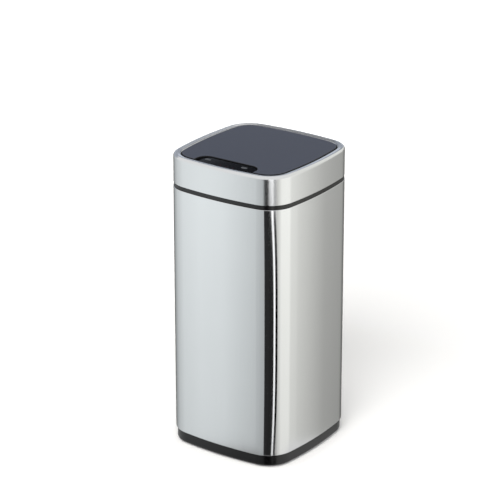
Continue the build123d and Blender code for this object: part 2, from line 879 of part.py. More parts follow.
def lid_sector():
    """Gear sector on the hinge shaft, hung under the lid's liner."""
    step = 360 / sector_teeth
    root = sector_module * (sector_teeth / 2 - dedendum)
    points = []
    for count in range(-sector_spare_teeth, sector_travel_teeth + sector_spare_teeth + 1):
        points += tooth(sector_module, sector_teeth, sector_to_low + count * step)
    inner = root - sector_rim
    first = sector_to_low - sector_spare_teeth * step
    last = sector_to_low + (sector_travel_teeth + sector_spare_teeth) * step
    points.append(along((0, 0), inner, last))
    points.append((0.0, 0.0))
    points.append(along((0, 0), inner, first))
    profile = make_face(Polyline(*points, close=True)) + Circle(sector_hub_radius)
    pad_top = lid_bottom - hinge_z
    pad = Pos(sector_pad_back / 2, 0) * Rectangle(sector_pad_back, 2 * pad_top)
    profile += pad
    cut = Pos(0, pad_top + sector_hub_radius) * Rectangle(4 * sector_hub_radius, 2 * sector_hub_radius)
    profile -= cut
    profile -= Circle(shaft_radius + seat)
    return side_slab(Pos(*hinge_axis) * profile, sector_x, sector_x + sector_face)


def lug(y):
    """Fixing lug on the outer cheek of the gearbox, under the head's floor."""
    top = shelf_bottom
    tongue = block(lug_x - lug_width / 2, gearbox_outer_x, y - lug_width / 2, y + lug_width / 2,
                   top - lug_thickness, top)
    return tongue - post(screw_radius + running, lug_x, y, top - lug_thickness - over, top + over)


def gearbox_case():
    """Outer half of the gearbox: cheek, wall round the gears and fixing lugs, open to the sector."""
    inner_face = gearbox_inner_x - cheek
    case = side_slab(gearbox_profile(case_wall), gearbox_outer_x, inner_face)
    case -= side_slab(gearbox_profile(0), gearbox_outer_x + cheek, inner_face + over)
    case -= sector_sweep(sheet)
    for before in lugs_before_hinge:
        case += lug(hinge_y - before)
    for axis in (low_axis, high_axis):
        case -= bar_x(axle_radius + seat, gearbox_outer_x - over, gearbox_outer_x + cheek + over, *axis)
    return case


def gearbox_cover():
    """Inner half of the gearbox: the cheek that carries the motor."""
    inner_face = gearbox_inner_x - cheek
    cover = side_slab(gearbox_profile(case_wall), inner_face, gearbox_inner_x)
    for axis in (low_axis, high_axis):
        cover -= bar_x(axle_radius + seat, inner_face - over, gearbox_inner_x + over, *axis)
    return cover - bar_x(motor_boss_radius + seat, inner_face - over, gearbox_inner_x + over, *motor_axis)


def gear_axles():
    """Steel axles of the two double gears, held in both cheeks."""
    return [bar_x(axle_radius, gearbox_outer_x, gearbox_inner_x, *axis) for axis in (low_axis, high_axis)]


def drive_motor():
    """Small motor with two flats, its boss seated in the gearbox's inner cheek."""
    can = bar_x(motor_radius, gearbox_inner_x, gearbox_inner_x + motor_length, *motor_axis)
    y, z = motor_axis
    half = motor_flats / 2
    can &= block(gearbox_inner_x, gearbox_inner_x + motor_length, y - motor_radius, y + motor_radius,
                 z - half, z + half)
    can += bar_x(motor_boss_radius, gearbox_inner_x - motor_boss_height, gearbox_inner_x, *motor_axis)
    shaft_end = gearbox_inner_x + motor_length - motor_tail
    can -= bar_x(motor_shaft_radius + running, gearbox_inner_x - over - motor_boss_height, shaft_end + running,
                 *motor_axis)
    return can


def door_hinge():
    """Y and Z of the battery door's hinge."""
    faces = battery_faces()
    return faces.y_high + door_hinge_gap, faces.z_low - door_thickness / 2


def tab_plate(x, y):
    """Fixing tab under the head's floor, with its screw hole."""
    half = lug_width / 2
    plate = block(x - half, x + half, y - half, y + half, shelf_bottom - lug_thickness, shelf_bottom)
    return plate - post(screw_radius + running, x, y, shelf_bottom - lug_thickness - over, shelf_bottom + over)


def battery_box():
    """Open-bottomed box for the cells, with fixing tabs and the door's hinge ears."""
    x_low, x_high, y_low, y_high, z_low, z_high = battery_faces()
    box = block(x_low, x_high, y_low, y_high, z_low, z_high)
    box -= block(x_low + battery_wall, x_high - battery_wall, y_low + battery_wall, y_high - battery_wall,
                 z_low - over, z_high - battery_wall)
    for x, y, z in head_screw_places():
        if x > x_low:
            box += tab_plate(x, y)
    hinge = door_hinge()
    eye = door_pin_radius + door_pin_wall
    for x in (x_low, x_high - door_ear_length):
        arm = block(x, x + door_ear_length, y_high, hinge[0] + eye, hinge[1], z_low + 2 * eye)
        arm += bar_x(eye, x, x + door_ear_length, *hinge)
        box += arm
        box -= bar_x(door_pin_radius + running, x - over, x + door_ear_length + over, *hinge)
    return box


def battery_door():
    """Hinged cover of the battery box, with its own pins and a finger grip."""
    faces = battery_faces()
    hinge_y_place, hinge_z_place = door_hinge()
    top = faces.z_low - loose
    plate = block(faces.x_low, faces.x_high, faces.y_low, faces.y_high, top - door_thickness, top)
    middle = (faces.x_low + faces.x_high) / 2
    plate += block(middle - finger_width / 2, middle + finger_width / 2, faces.y_low - thin_plastic, faces.y_low,
                   top - 2 * door_thickness, top)
    inner_low = faces.x_low + door_ear_length + loose
    inner_high = faces.x_high - door_ear_length - loose
    plate += block(inner_low, inner_high, faces.y_high, hinge_y_place,
                   hinge_z_place - door_pin_radius, hinge_z_place + door_pin_radius)
    plate += bar_x(door_pin_radius, faces.x_low, faces.x_high, hinge_y_place, hinge_z_place)
    return plate


def cell_places():
    """Y and Z of each row of cells."""
    faces = battery_faces()
    first = faces.y_low + battery_wall + cell_space / 2 + cell_pitch / 2
    middle = faces.z_high - battery_wall - cell_space - cell_radius
    return [(first + row * cell_pitch, middle) for row in range(cell_rows)]


def battery_cells():
    """Four C cells in two rows, head to tail."""
    start = battery_left + battery_wall + contact_plate
    step = cell_length + cell_nub
    cells = []
    for row, place in enumerate(cell_places()):
        shift = 0 if row else spring_gap
        for count in range(2):
            low = start + shift + count * step
            if row:
                can = bar_x(cell_radius, low + cell_nub, low + step, *place)
                cells.append(can + bar_x(cell_nub_radius, low, low + cell_nub, *place))
            else:
                can = bar_x(cell_radius, low, low + cell_length, *place)
                cells.append(can + bar_x(cell_nub_radius, low + cell_length, low + step, *place))
    return cells


def battery_contacts():
    """Contact plates at both ends of each row, with a cone spring at the flat end."""
    inner_low = battery_left + battery_wall
    long_way = 2 * (cell_length + cell_nub) + spring_gap
    contacts = []
    for row, (y, z) in enumerate(cell_places()):
        half = cell_radius - sheet
        near = block(inner_low, inner_low + contact_plate, y - half, y + half, z - half, z + half)
        far_x = inner_low + contact_plate + long_way
        far = block(far_x, far_x + contact_plate, y - half, y + half, z - half, z + half)
        spring = Cone(half / 2, half - sheet, spring_gap, align=(Align.CENTER, Align.CENTER, Align.MIN))
        if row:
            far += Pos(far_x, y, z) * Rot(0, -90, 0) * spring
        else:
            near += Pos(inner_low + contact_plate, y, z) * Rot(0, 90, 0) * spring
        contacts += [near, far]
    return contacts


def switch_housing():
    """Housing of the power rocker, fixed under the head's floor."""
    top = shelf_bottom
    low = top - switch_housing_height
    half_x, half_y = switch_housing_length / 2, switch_housing_width / 2
    box = block(switch_x - half_x, switch_x + half_x, switch_y - half_y, switch_y + half_y, low, top)
    gap = rocker_length / 2 + loose
    reach = hypot(rocker_half, rocker_edge) + loose
    box -= block(switch_x - gap, switch_x + gap, switch_y - reach, switch_y + reach, low - over, top - switch_wall)
    return box - bar_x(rocker_pin_radius + running, switch_x - half_x + sheet, switch_x + half_x - sheet,
                       *rocker_axis())


def rocker_axis():
    """Y and Z of the rocker's pivot."""
    return switch_y, shelf_bottom - switch_housing_height + rocker_edge / 2


def power_rocker():
    """Rocker with a shallow valley across its face, at rest tilted to one side."""
    face = Polygon(
        (-rocker_half, -rocker_edge), (0, -rocker_valley), (rocker_half, -rocker_edge),
        (rocker_half, rocker_valley), (rocker_half - rocker_valley, rocker_back),
        (rocker_valley - rocker_half, rocker_back), (-rocker_half, rocker_valley),
        align=None,
    )
    axis = rocker_axis()
    turned = Pos(*axis) * Rot(0, 0, rocker_tilt) * face
    half = rocker_length / 2
    body = side_slab(turned, switch_x - half, switch_x + half)
    pin_half = switch_housing_length / 2 - sheet - loose
    return body + bar_x(rocker_pin_radius, switch_x - pin_half, switch_x + pin_half, *axis)


def head_screws():
    """Screws that hold the gearbox and the battery box under the head's floor."""
    length = lug_thickness + plastic + thin_plastic - sheet - loose
    return [screw(x, y, z, length) for x, y, z in head_screw_places()]


def loom_radii():
    """Largest arc that the two runs at each corner of the wiring's route leave room for."""
    radii = []
    for before, here, after in zip(loom_route, loom_route[1:], loom_route[2:]):
        first = Vector(*here) - Vector(*before)
        second = Vector(*after) - Vector(*here)
        half_turn = radians(first.get_angle(second)) / 2
        radii.append(loom_arc_share * min(first.length, second.length) / tan(half_turn))
    return radii


def wiring_loom():
    """Leads from the battery side, round the chute and up to the board."""
    radii = loom_radii()
    print("wiring arc radii:", [round(radius, 1) for radius in radii])
    path = FilletPolyline(*loom_route, radius=radii)
    start = Vector(*loom_route[1]) - Vector(*loom_route[0])
    section = Plane(origin=loom_route[0], z_dir=start) * Circle(loom_radius)
    return sweep(section, path=path)


pieces = {
    "body_shell": body_shell,
    "base_ring": base_ring,
    "base_tray": base_tray,
    "foot_pads": foot_pads,
    "base_screws": base_screws,
    "bag_ring": bag_ring,
    "head_collar": head_collar,
    "head_frame": head_frame,
    "lid_bumpers": lid_bumpers,
    "sensor_console": sensor_console,
    "open_button": lambda: key(open_key_x),
    "close_button": lambda: key(close_key_x),
    "control_board": control_board,
    "console_screws": console_screws,
    "sensor_diodes": sensor_diodes,
    "board_parts": board_parts,
    "lid_panel": lid_panel,
    "lid_liner": lid_liner,
    "lid_screws": lid_screws,
    "hinge_shaft": hinge_shaft,
    "lid_sector": lid_sector,
    "bush_left": lambda: bush(-ear_reach - ear_thickness, -1),
    "bush_right": lambda: bush(ear_reach, 1),
    "compound_gear_low": compound_gear_low,
    "compound_gear_high": compound_gear_high,
    "motor_pinion": motor_pinion,
    "motor_shaft": motor_shaft,
    "gearbox_case": gearbox_case,
    "gearbox_cover": gearbox_cover,
    "gear_axles": gear_axles,
    "drive_motor": drive_motor,
    "battery_box": battery_box,
    "battery_door": battery_door,
    "battery_cells": battery_cells,
    "battery_contacts": battery_contacts,
    "switch_housing": switch_housing,
    "power_rocker": power_rocker,
    "head_screws": head_screws,
    "wiring_loom": wiring_loom,
}


def write_parts():
    """Build each piece and write it under its own name."""
    os.makedirs("parts", exist_ok=True)
    for name, make in pieces.items():
        made = make()
        solids = made if isinstance(made, list) else [made]
        solids = [solid for item in solids for solid in item.solids()]
        shape = solids[0] if len(solids) == 1 else Compound(solids)
        export_step(shape, os.path.join("parts", name + ".step"))


write_parts()
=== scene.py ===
"""Looks of a sensor trash can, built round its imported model.

Metres, +Z up, in the model's own frame, with the sensor side towards -Y.
"""
import json
import logging
from dataclasses import dataclass
from enum import Enum
from math import atan2, cos, pi, radians, sin, sqrt
from typing import Callable, Dict, List, Optional, Sequence, Tuple

import bpy
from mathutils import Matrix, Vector


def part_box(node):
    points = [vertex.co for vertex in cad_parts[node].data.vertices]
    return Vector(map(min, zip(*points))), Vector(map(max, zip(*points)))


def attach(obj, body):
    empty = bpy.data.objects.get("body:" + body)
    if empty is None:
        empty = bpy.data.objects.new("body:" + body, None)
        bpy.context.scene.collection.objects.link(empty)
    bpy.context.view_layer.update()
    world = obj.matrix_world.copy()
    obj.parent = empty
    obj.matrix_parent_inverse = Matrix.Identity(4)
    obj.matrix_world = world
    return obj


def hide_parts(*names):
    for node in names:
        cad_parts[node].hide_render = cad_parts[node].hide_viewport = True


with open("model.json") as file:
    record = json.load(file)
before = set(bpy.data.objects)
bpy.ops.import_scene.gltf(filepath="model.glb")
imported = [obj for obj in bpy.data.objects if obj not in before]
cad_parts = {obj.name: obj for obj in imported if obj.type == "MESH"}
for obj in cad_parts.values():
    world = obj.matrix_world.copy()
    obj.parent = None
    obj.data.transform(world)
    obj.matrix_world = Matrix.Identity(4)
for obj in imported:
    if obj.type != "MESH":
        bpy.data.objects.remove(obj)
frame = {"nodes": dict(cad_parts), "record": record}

MM = 0.001
# Places nearer than this lie on one line; corners of a section are found more closely.
NEAR = 0.1 * MM
AT_CORNER = 0.02 * MM
# Vertices nearer than these are welded, in a section and round the spin.
SECTION_WELD = 0.01 * MM
SPIN_WELD = 0.005 * MM
# Upright part of a normal from which a face counts as level.
LEVEL = 0.99
Place = Tuple[float, float, float]

log = logging.getLogger("trash_can")


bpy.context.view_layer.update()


def linear(hex_colour: str) -> Tuple[float, float, float, float]:
    """Turn an sRGB hex colour into linear values.

    Args:
        hex_colour: colour as "#RRGGBB".

    Returns:
        Linear red, green, blue and an alpha of 1.
    """
    values = []
    for start in (1, 3, 5):
        part = int(hex_colour[start:start + 2], 16) / 255
        values.append(part / 12.92 if part <= 0.04045 else ((part + 0.055) / 1.055) ** 2.4)
    return values[0], values[1], values[2], 1.0


def add_node(tree: bpy.types.NodeTree, kind: str, settings: Optional[dict] = None,
             links: Optional[dict] = None) -> bpy.types.Node:
    """Add a shader node with its settings and incoming links.

    Args:
        tree: node tree that gets the node.
        kind: what follows "ShaderNode" in the node's type.
        settings: socket names or numbers with their values, or the node's own properties.
        links: socket names or numbers with the output sockets that feed them.

    Returns:
        The new node.
    """
    node = tree.nodes.new("ShaderNode" + kind)
    for key, value in (settings or {}).items():
        if isinstance(key, str) and hasattr(node, key) and key not in node.inputs:
            setattr(node, key, value)
        else:
            node.inputs[key].default_value = value
    for key, socket in (links or {}).items():
        tree.links.new(socket, node.inputs[key])
    return node


def empty_material(name: str) -> Tuple[bpy.types.Material, bpy.types.NodeTree]:
    """New node material with nothing in it.

    Args:
        name: the material's name.

    Returns:
        The material and its node tree.
    """
    material = bpy.data.materials.new(name)
    material.use_nodes = True
    material.node_tree.nodes.clear()
    return material, material.node_tree


def deselect() -> None:
    """Leave nothing selected, so that an operator acts on the new piece alone."""
    if bpy.context.object and bpy.context.object.mode != "OBJECT":
        bpy.ops.object.mode_set(mode="OBJECT")
    bpy.ops.object.select_all(action="DESELECT")


def select_only(piece: bpy.types.Object) -> None:
    """Select one piece and make it the active one."""
    deselect()
    piece.select_set(True)
    bpy.context.view_layer.objects.active = piece


class Element(Enum):
    """What a selection in edit mode is made of."""

    VERTEX = "VERT"
    FACE = "FACE"


def pick(piece: bpy.types.Object, element: Element, wanted: Callable[..., bool]) -> None:
    """Select vertices or faces of a piece in edit mode by their place.

    Args:
        piece: the mesh object, which is in edit mode.
        element: what is picked.
        wanted: says whether a vertex's place, or a face's middle and normal, is picked.
    """
    bpy.ops.mesh.select_mode(type=element.value)
    bpy.ops.mesh.select_all(action="DESELECT")
    bpy.ops.object.mode_set(mode="OBJECT")
    if element is Element.VERTEX:
        for vertex in piece.data.vertices:
            vertex.select = wanted(piece.matrix_world @ vertex.co)
    else:
        for face in piece.data.polygons:
            face.select = wanted(piece.matrix_world @ face.center, face.normal)
    bpy.ops.object.mode_set(mode="EDIT")


def draw_line(name: str, places: Sequence[Vector]) -> bpy.types.Object:
    """Draw a line through places by extruding one vertex.

    Args:
        name: the new piece's name.
        places: places along the line, with the first again at the end of a closed one.

    Returns:
        The new piece, in edit mode with all of it selected.
    """
    deselect()
    bpy.ops.mesh.primitive_plane_add(size=MM, location=(0, 0, 0))
    piece = bpy.context.object
    piece.name = name
    bpy.ops.object.mode_set(mode="EDIT")
    bpy.ops.mesh.merge(type="CENTER")
    bpy.ops.transform.translate(value=places[0])
    for before, here in zip(places, places[1:]):
        bpy.ops.mesh.extrude_region_move(TRANSFORM_OT_translate={"value": here - before})
    bpy.ops.mesh.select_all(action="SELECT")
    return piece


def apply_modifier(piece: bpy.types.Object, kind: str, settings: Optional[dict] = None) -> None:
    """Add a modifier to a piece and apply it at once.

    Args:
        piece: the mesh object, in object mode.
        kind: the modifier's type.
        settings: the modifier's properties with their values.
    """
    select_only(piece)
    bpy.ops.object.modifier_add(type=kind)
    modifier = piece.modifiers[-1]
    for key, value in (settings or {}).items():
        setattr(modifier, key, value)
    bpy.ops.object.modifier_apply(modifier=modifier.name)


def settle(piece: bpy.types.Object, smooth_degrees: float = 35.0) -> bpy.types.Object:
    """Finish a piece: its place goes into its mesh, and gentle edges are shaded smooth.

    Wide flat faces keep their own normals beside a rounded edge, so that they mirror as flat ones.

    Args:
        piece: the mesh object.
        smooth_degrees: edges that turn less than this are shaded smooth.

    Returns:
        The same object, at the origin, unturned and unscaled.
    """
    select_only(piece)
    bpy.ops.object.transform_apply(location=True, rotation=True, scale=True)
    bpy.ops.object.shade_smooth_by_angle(angle=radians(smooth_degrees))
    apply_modifier(piece, "WEIGHTED_NORMAL", {"mode": "FACE_AREA", "weight": 100, "keep_sharp": True})
    piece.select_set(False)
    return piece


def dress(piece: bpy.types.Object, material: bpy.types.Material) -> None:
    """Give a piece one material for all its faces."""
    piece.data.materials.clear()
    piece.data.materials.append(material)


@dataclass(frozen=True)
class Corner:
    """Corner of a wall's section.

    Lengths are in millimetres.

    Attributes:
        inset: distance inwards from the bin's plan outline.
        height: height above the floor.
        round: radius of the corner, or 0 for a sharp one.
        steps: segments of the rounding.
    """

    inset: float
    height: float
    round: float = 0.0
    steps: int = 3


@dataclass(frozen=True)
class Plan:
    """The bin's plan outline: a square with bulged sides and round corners.

    Lengths are in metres.

    Attributes:
        half: half the width across the middles of two sides.
        side_radius: radius of the bulged sides.
        corner_radius: radius of the corners.
        side_steps: segments along a side.
        corner_steps: segments round a corner.
    """

    half: float
    side_radius: float = 766 * MM
    corner_radius: float = 60 * MM
    side_steps: int = 14
    corner_steps: int = 18

    @property
    def reach(self) -> float:
        """Distance from the axis to the middle of a side's arc."""
        return self.side_radius - self.half

    @property
    def centre(self) -> float:
        """Distance of a corner arc's middle from both centre planes."""
        apart = self.side_radius - self.corner_radius
        return (sqrt(2 * apart ** 2 - self.reach ** 2) - self.reach) / 2

    @property
    def half_sweep(self) -> float:
        """Half the angle of a side's arc, in radians."""
        return atan2(self.centre, self.centre + self.reach)

    def start(self, corner: Corner) -> Vector:
        """Place of a section's corner where the sweep round the bin starts."""
        radius = self.side_radius - corner.inset * MM
        x = radius * cos(self.half_sweep) - self.reach
        return Vector((x, -radius * sin(self.half_sweep), corner.height * MM))

    def sweep(self, name: str, section: Sequence[Corner]) -> bpy.types.Object:
        """Spin a closed section round the bin.

        Args:
            name: the new piece's name.
            section: corners of the section in order.

        Returns:
            A closed mesh, still in object mode and unfinished.
        """
        places = [self.start(corner) for corner in section]
        piece = draw_line(name, places + places[:1])
        bpy.ops.mesh.remove_doubles(threshold=SECTION_WELD)
        for corner, place in zip(section, places):
            if corner.round:
                pick(piece, Element.VERTEX, lambda at, place=place: (at - place).length < AT_CORNER)
                bpy.ops.mesh.bevel(affect="VERTICES", offset=corner.round * MM, segments=corner.steps)
        bpy.ops.mesh.select_all(action="SELECT")
        self._spin_round()
        bpy.ops.mesh.select_all(action="SELECT")
        bpy.ops.mesh.remove_doubles(threshold=SPIN_WELD)
        bpy.ops.mesh.normals_make_consistent(inside=False)
        bpy.ops.object.mode_set(mode="OBJECT")
        return piece

    def _spin_round(self) -> None:
        """Spin what is selected along the four sides and round the four corners."""
        corner_turn = pi / 2 - 2 * self.half_sweep
        for quarter in range(4):
            turn = quarter * pi / 2
            side = (-self.reach * cos(turn), -self.reach * sin(turn), 0)
            bpy.ops.mesh.spin(steps=self.side_steps, angle=-2 * self.half_sweep, center=side, axis=(0, 0, 1))
            corner = (self.centre * (cos(turn) - sin(turn)), self.centre * (sin(turn) + cos(turn)), 0)
            bpy.ops.mesh.spin(steps=self.corner_steps, angle=-corner_turn, center=corner, axis=(0, 0, 1))


class Pattern(Enum):
    """How a surface was made, which sets how its fine relief is drawn."""

    BRUSHED = "long streaks up the wall"
    ERODED = "fine grain of a spark-eroded mould"
    POLISHED = "near mirror with a faint ripple"
    TURNED = "soft mottle of plated or turned metal"
    PRINTED = "tracks under a solder mask"


@dataclass(frozen=True)
class Finish:
    """One real surface finish.

    Attributes:
        name: the real material and how its surface was made.
        colour: sRGB colour.
        second_colour: sRGB colour that the pattern mixes in.
        pattern: kind of relief.
        grain: size of the relief's features, in millimetres.
        relief: height of the relief, in micrometres.
        roughness: lowest roughness.
        length: length of the features along Z, in millimetres, or 0 where it is the grain's.
        roughness_rise: how much the pattern adds to it.
        metallic: 1 for a metal.
        ior: index of refraction, or None to keep the shader's own.
        transmission: share of light that passes.
        shade_edge_colour: sRGB colour painted below a height as shade, or None where the colour is the same
            all over.
        shade_edge_height: that height above the floor, in millimetres.
    """

    name: str
    colour: str
    second_colour: str
    pattern: Pattern
    grain: float
    relief: float
    roughness: float
    length: float = 0.0
    roughness_rise: float = 0.05
    metallic: float = 0.0
    ior: Optional[float] = None
    transmission: float = 0.0
    shade_edge_colour: Optional[str] = None
    shade_edge_height: float = 0.0

    def material(self) -> bpy.types.Material:
        """Build the material.

        Returns:
            A procedural material that reads Object coordinates.
        """
        material, tree = empty_material(self.name)
        place = add_node(tree, "TexCoord")
        along = self.length or self.grain
        scale = (1 / (self.grain * MM), 1 / (self.grain * MM), 1 / (along * MM))
        mapped = add_node(tree, "Mapping", {"Scale": scale}, {"Vector": place.outputs["Object"]})
        fine = self._pattern_node(tree, mapped)
        broad = add_node(tree, "TexNoise", {"Scale": 1 / (BROAD_MOTTLE * MM), "Detail": SOFT_DETAIL},
                         {"Vector": place.outputs["Object"]})
        blend = add_node(tree, "Mix", {"data_type": "FLOAT", 0: BROAD_SHARE},
                         {2: fine, 3: broad.outputs["Fac"]})
        settings = {"data_type": "RGBA", 6: linear(self.colour), 7: linear(self.second_colour)}
        colour = add_node(tree, "Mix", settings, {0: blend.outputs[0]})
        # Painted shade: below a height the colour turns near black, for the lid's edge where it lies in
        # shadow in its gap.
        if self.shade_edge_colour is not None:
            colour = self._paint_edge_shade(tree, place, colour)
        span = {"To Min": self.roughness, "To Max": self.roughness + self.roughness_rise}
        rough = add_node(tree, "MapRange", span, {"Value": blend.outputs[0]})
        micrometre = MM * MM
        bump = add_node(tree, "Bump", {"Strength": 1.0, "Distance": self.relief * micrometre},
                        {"Height": fine})
        fixed = {"Metallic": self.metallic, "Transmission Weight": self.transmission}
        if self.ior is not None:
            fixed["IOR"] = self.ior
        links = {"Base Color": colour.outputs[2], "Roughness": rough.outputs["Result"],
                 "Normal": bump.outputs["Normal"]}
        shader = add_node(tree, "BsdfPrincipled", fixed, links)
        add_node(tree, "OutputMaterial", links={"Surface": shader.outputs["BSDF"]})
        return material

    def _paint_edge_shade(self, tree: bpy.types.NodeTree, place: bpy.types.Node,
                    colour: bpy.types.Node) -> bpy.types.Node:
        """Colour that gives way to the edge's painted shade, a near black, below its height.

        Args:
            tree: the material's node tree.
            place: node with the Object coordinates.
            colour: node whose colour covers the rest.

        Returns:
            The node that mixes both.
        """
        height = add_node(tree, "SeparateXYZ", links={"Vector": place.outputs["Object"]})
        edge = self.shade_edge_height * MM
        span = {"From Min": edge - SHADE_EDGE_BLEND * MM, "From Max": edge + SHADE_EDGE_BLEND * MM}
        above = add_node(tree, "MapRange", span, {"Value": height.outputs["Z"]})
        settings = {"data_type": "RGBA", 6: linear(self.shade_edge_colour)}
        return add_node(tree, "Mix", settings, {0: above.outputs["Result"], 7: colour.outputs[2]})

    def _pattern_node(self, tree: bpy.types.NodeTree, mapped: bpy.types.Node) -> bpy.types.NodeSocket:
        """Output socket of the pattern's own height, from 0 to 1."""
        vector = {"Vector": mapped.outputs["Vector"]}
        if self.pattern is Pattern.PRINTED:
            tracks = {"Scale": 1.0, "Mortar Size": TRACK_WIDTH, "offset": TRACK_SHIFT}
            return add_node(tree, "TexBrick", tracks, vector).outputs["Fac"]
        if self.pattern is Pattern.ERODED:
            node = add_node(tree, "TexVoronoi", {"Scale": 1.0, "feature": "SMOOTH_F1"}, vector)
            return node.outputs["Distance"]
        detail = STREAK_DETAIL if self.pattern is Pattern.BRUSHED else SOFT_DETAIL
        return add_node(tree, "TexNoise", {"Scale": 1.0, "Detail": detail}, vector).outputs["Fac"]


# Slow unevenness under every relief: its size in millimetres, and its share of the mix.
BROAD_MOTTLE = 60.0
BROAD_SHARE = 0.25
# Half the height over which a piece's painted edge shade gives way, in millimetres.
SHADE_EDGE_BLEND = 0.05
# Octaves of the brushed streaks, and of the softer patterns.
STREAK_DETAIL = 4.0
SOFT_DETAIL = 2.0
# Circuit tracks: width and shift of each row, as shares of their spacing.
TRACK_WIDTH = 0.06
TRACK_SHIFT = 0.37

# Stainless sheet, dry brushed up the wall and clear lacquered: crisp reflections with soft upright streaks.
# The real grit lines are about 0.1 mm wide; they are drawn 0.5 mm wide so that they show at all.
BRUSHED_STEEL = Finish("stainless_steel_brushed", "#DDDEDF", "#D5D6D7", Pattern.BRUSHED, grain=0.5,
                       length=90.0, relief=0.3, roughness=0.055, roughness_rise=0.03, metallic=1.0)
# The collar's sheet after rolling and rubbing down: the same steel, with a softer, milkier reflection.
ROLLED_STEEL = Finish("stainless_steel_rolled", "#DDDEDF", "#D3D4D5", Pattern.BRUSHED, grain=0.5, length=60.0,
                      relief=0.6, roughness=0.16, roughness_rise=0.05, metallic=1.0)
# Polypropylene from a smooth mould: near black, with a broad satin light.
BLACK_PLASTIC = Finish("polypropylene_black_satin", "#080809", "#060607", Pattern.ERODED, grain=0.8,
                       relief=1.0, roughness=0.15, roughness_rise=0.05, ior=1.5)
# ABS with a satin graphite top: a cool dark grey that catches broad soft light.
# Its edge is painted near black as shade, darkening the line where the lid's side lies in shadow in its gap.
LID_PLASTIC = Finish("abs_graphite_sprayed", "#1B1F2E", "#181C29", Pattern.ERODED, grain=0.5, relief=1.0,
                     roughness=0.3, roughness_rise=0.06, ior=1.45, shade_edge_colour="#030304", shade_edge_height=645.2)
# Acrylic, polished: almost black, with clear mirror-like lights.
CONSOLE_PLASTIC = Finish("acrylic_black_polished", "#0B0C10", "#0D0E12", Pattern.POLISHED, grain=14.0,
                         relief=2.0, roughness=0.06, roughness_rise=0.02, ior=1.49)
# ABS keys, a shade lighter and duller than the panel round them.
KEY_PLASTIC = Finish("abs_key_satin", "#303236", "#2B2D31", Pattern.ERODED, grain=0.4, relief=2.0,
                     roughness=0.32, roughness_rise=0.05, ior=1.53)
# Natural acetal: warm off-white, waxy.
GEAR_PLASTIC = Finish("acetal_natural", "#E4E0D2", "#D9D4C4", Pattern.ERODED, grain=0.6, relief=2.0,
                      roughness=0.35, roughness_rise=0.06, ior=1.48)
# Zinc plated screws: cool grey with a faint cloudy bloom.
ZINC_STEEL = Finish("steel_zinc_plated", "#C3C6CA", "#A9ADB3", Pattern.TURNED, grain=1.5, relief=2.0,
                    roughness=0.3, roughness_rise=0.12, metallic=1.0)
# Ground bar: even and bright.
GROUND_STEEL = Finish("steel_ground", "#C9CBCE", "#BABCC0", Pattern.TURNED, grain=0.3, relief=1.0,
                      roughness=0.18, roughness_rise=0.06, metallic=1.0)
# Machined brass pinion: warm yellow.
BRASS = Finish("brass_machined", "#D9B46A", "#C79F55", Pattern.TURNED, grain=0.4, relief=1.5,
               roughness=0.25, roughness_rise=0.08, metallic=1.0)
# Plated can of the motor.
MOTOR_STEEL = Finish("steel_nickel_can", "#B9BBBD", "#A5A7AA", Pattern.TURNED, grain=2.0, relief=1.5,
                     roughness=0.28, roughness_rise=0.08, metallic=1.0)
# Rubber pads: dull dark grey with no clear highlight.
RUBBER = Finish("rubber_moulded", "#262626", "#1E1E1E", Pattern.ERODED, grain=0.7, relief=10.0,
                roughness=0.75, roughness_rise=0.1, ior=1.52)
# Green solder mask over fine tracks.
CIRCUIT_BOARD = Finish("fr4_solder_mask", "#1E5A38", "#2C7048", Pattern.PRINTED, grain=3.0, relief=15.0,
                       roughness=0.35, roughness_rise=0.1, ior=1.5)
# Tinted epoxy of the infra-red diodes: deep violet, clear.
DIODE_EPOXY = Finish("epoxy_tinted", "#2A2038", "#241B31", Pattern.POLISHED, grain=5.0, relief=1.0,
                     roughness=0.05, roughness_rise=0.02, ior=1.52, transmission=0.3)
# Pale ink printed on the keys.
KEY_INK = Finish("screen_print_ink_grey", "#63676B", "#5F6367", Pattern.ERODED, grain=0.3, relief=0.5,
                 roughness=0.5, roughness_rise=0.05, ior=1.5)
# Dark red acrylic windows over the infra-red diodes.
SENSOR_WINDOW = Finish("acrylic_window_dark_red", "#2E1A1E", "#2A171B", Pattern.POLISHED, grain=6.0,
                       relief=0.5, roughness=0.05, roughness_rise=0.02, ior=1.49)
# Shrunk plastic sleeve of the cells, plain.
CELL_WRAP = Finish("pvc_sleeve_shrunk", "#4A5058", "#434950", Pattern.POLISHED, grain=9.0, relief=6.0,
                   roughness=0.22, roughness_rise=0.06, ior=1.53)
# Nickel plated contacts: bright with a warm cast.
SPRING_STEEL = Finish("spring_steel_nickel", "#CFCDC8", "#BDBBB5", Pattern.TURNED, grain=0.8, relief=1.0,
                      roughness=0.2, roughness_rise=0.08, metallic=1.0)
# Soft sleeve round the leads.
LEAD_SLEEVE = Finish("pvc_lead_sleeve", "#1B1B1D", "#232325", Pattern.ERODED, grain=0.9, relief=5.0,
                     roughness=0.5, roughness_rise=0.08, ior=1.53)

SLOT_FINISHES: Dict[str, Finish] = {
    "brushed_steel": BRUSHED_STEEL,
    "black_plastic": BLACK_PLASTIC,
    "lid_plastic": LID_PLASTIC,
    "console_plastic": CONSOLE_PLASTIC,
    "key_plastic": KEY_PLASTIC,
    "gear_plastic": GEAR_PLASTIC,
    "zinc_steel": ZINC_STEEL,
    "ground_steel": GROUND_STEEL,
    "brass": BRASS,
    "motor_steel": MOTOR_STEEL,
    "rubber": RUBBER,
    "circuit_board": CIRCUIT_BOARD,
    "diode": DIODE_EPOXY,
    "cell_wrap": CELL_WRAP,
    "spring_steel": SPRING_STEEL,
    "lead_sleeve": LEAD_SLEEVE,
}


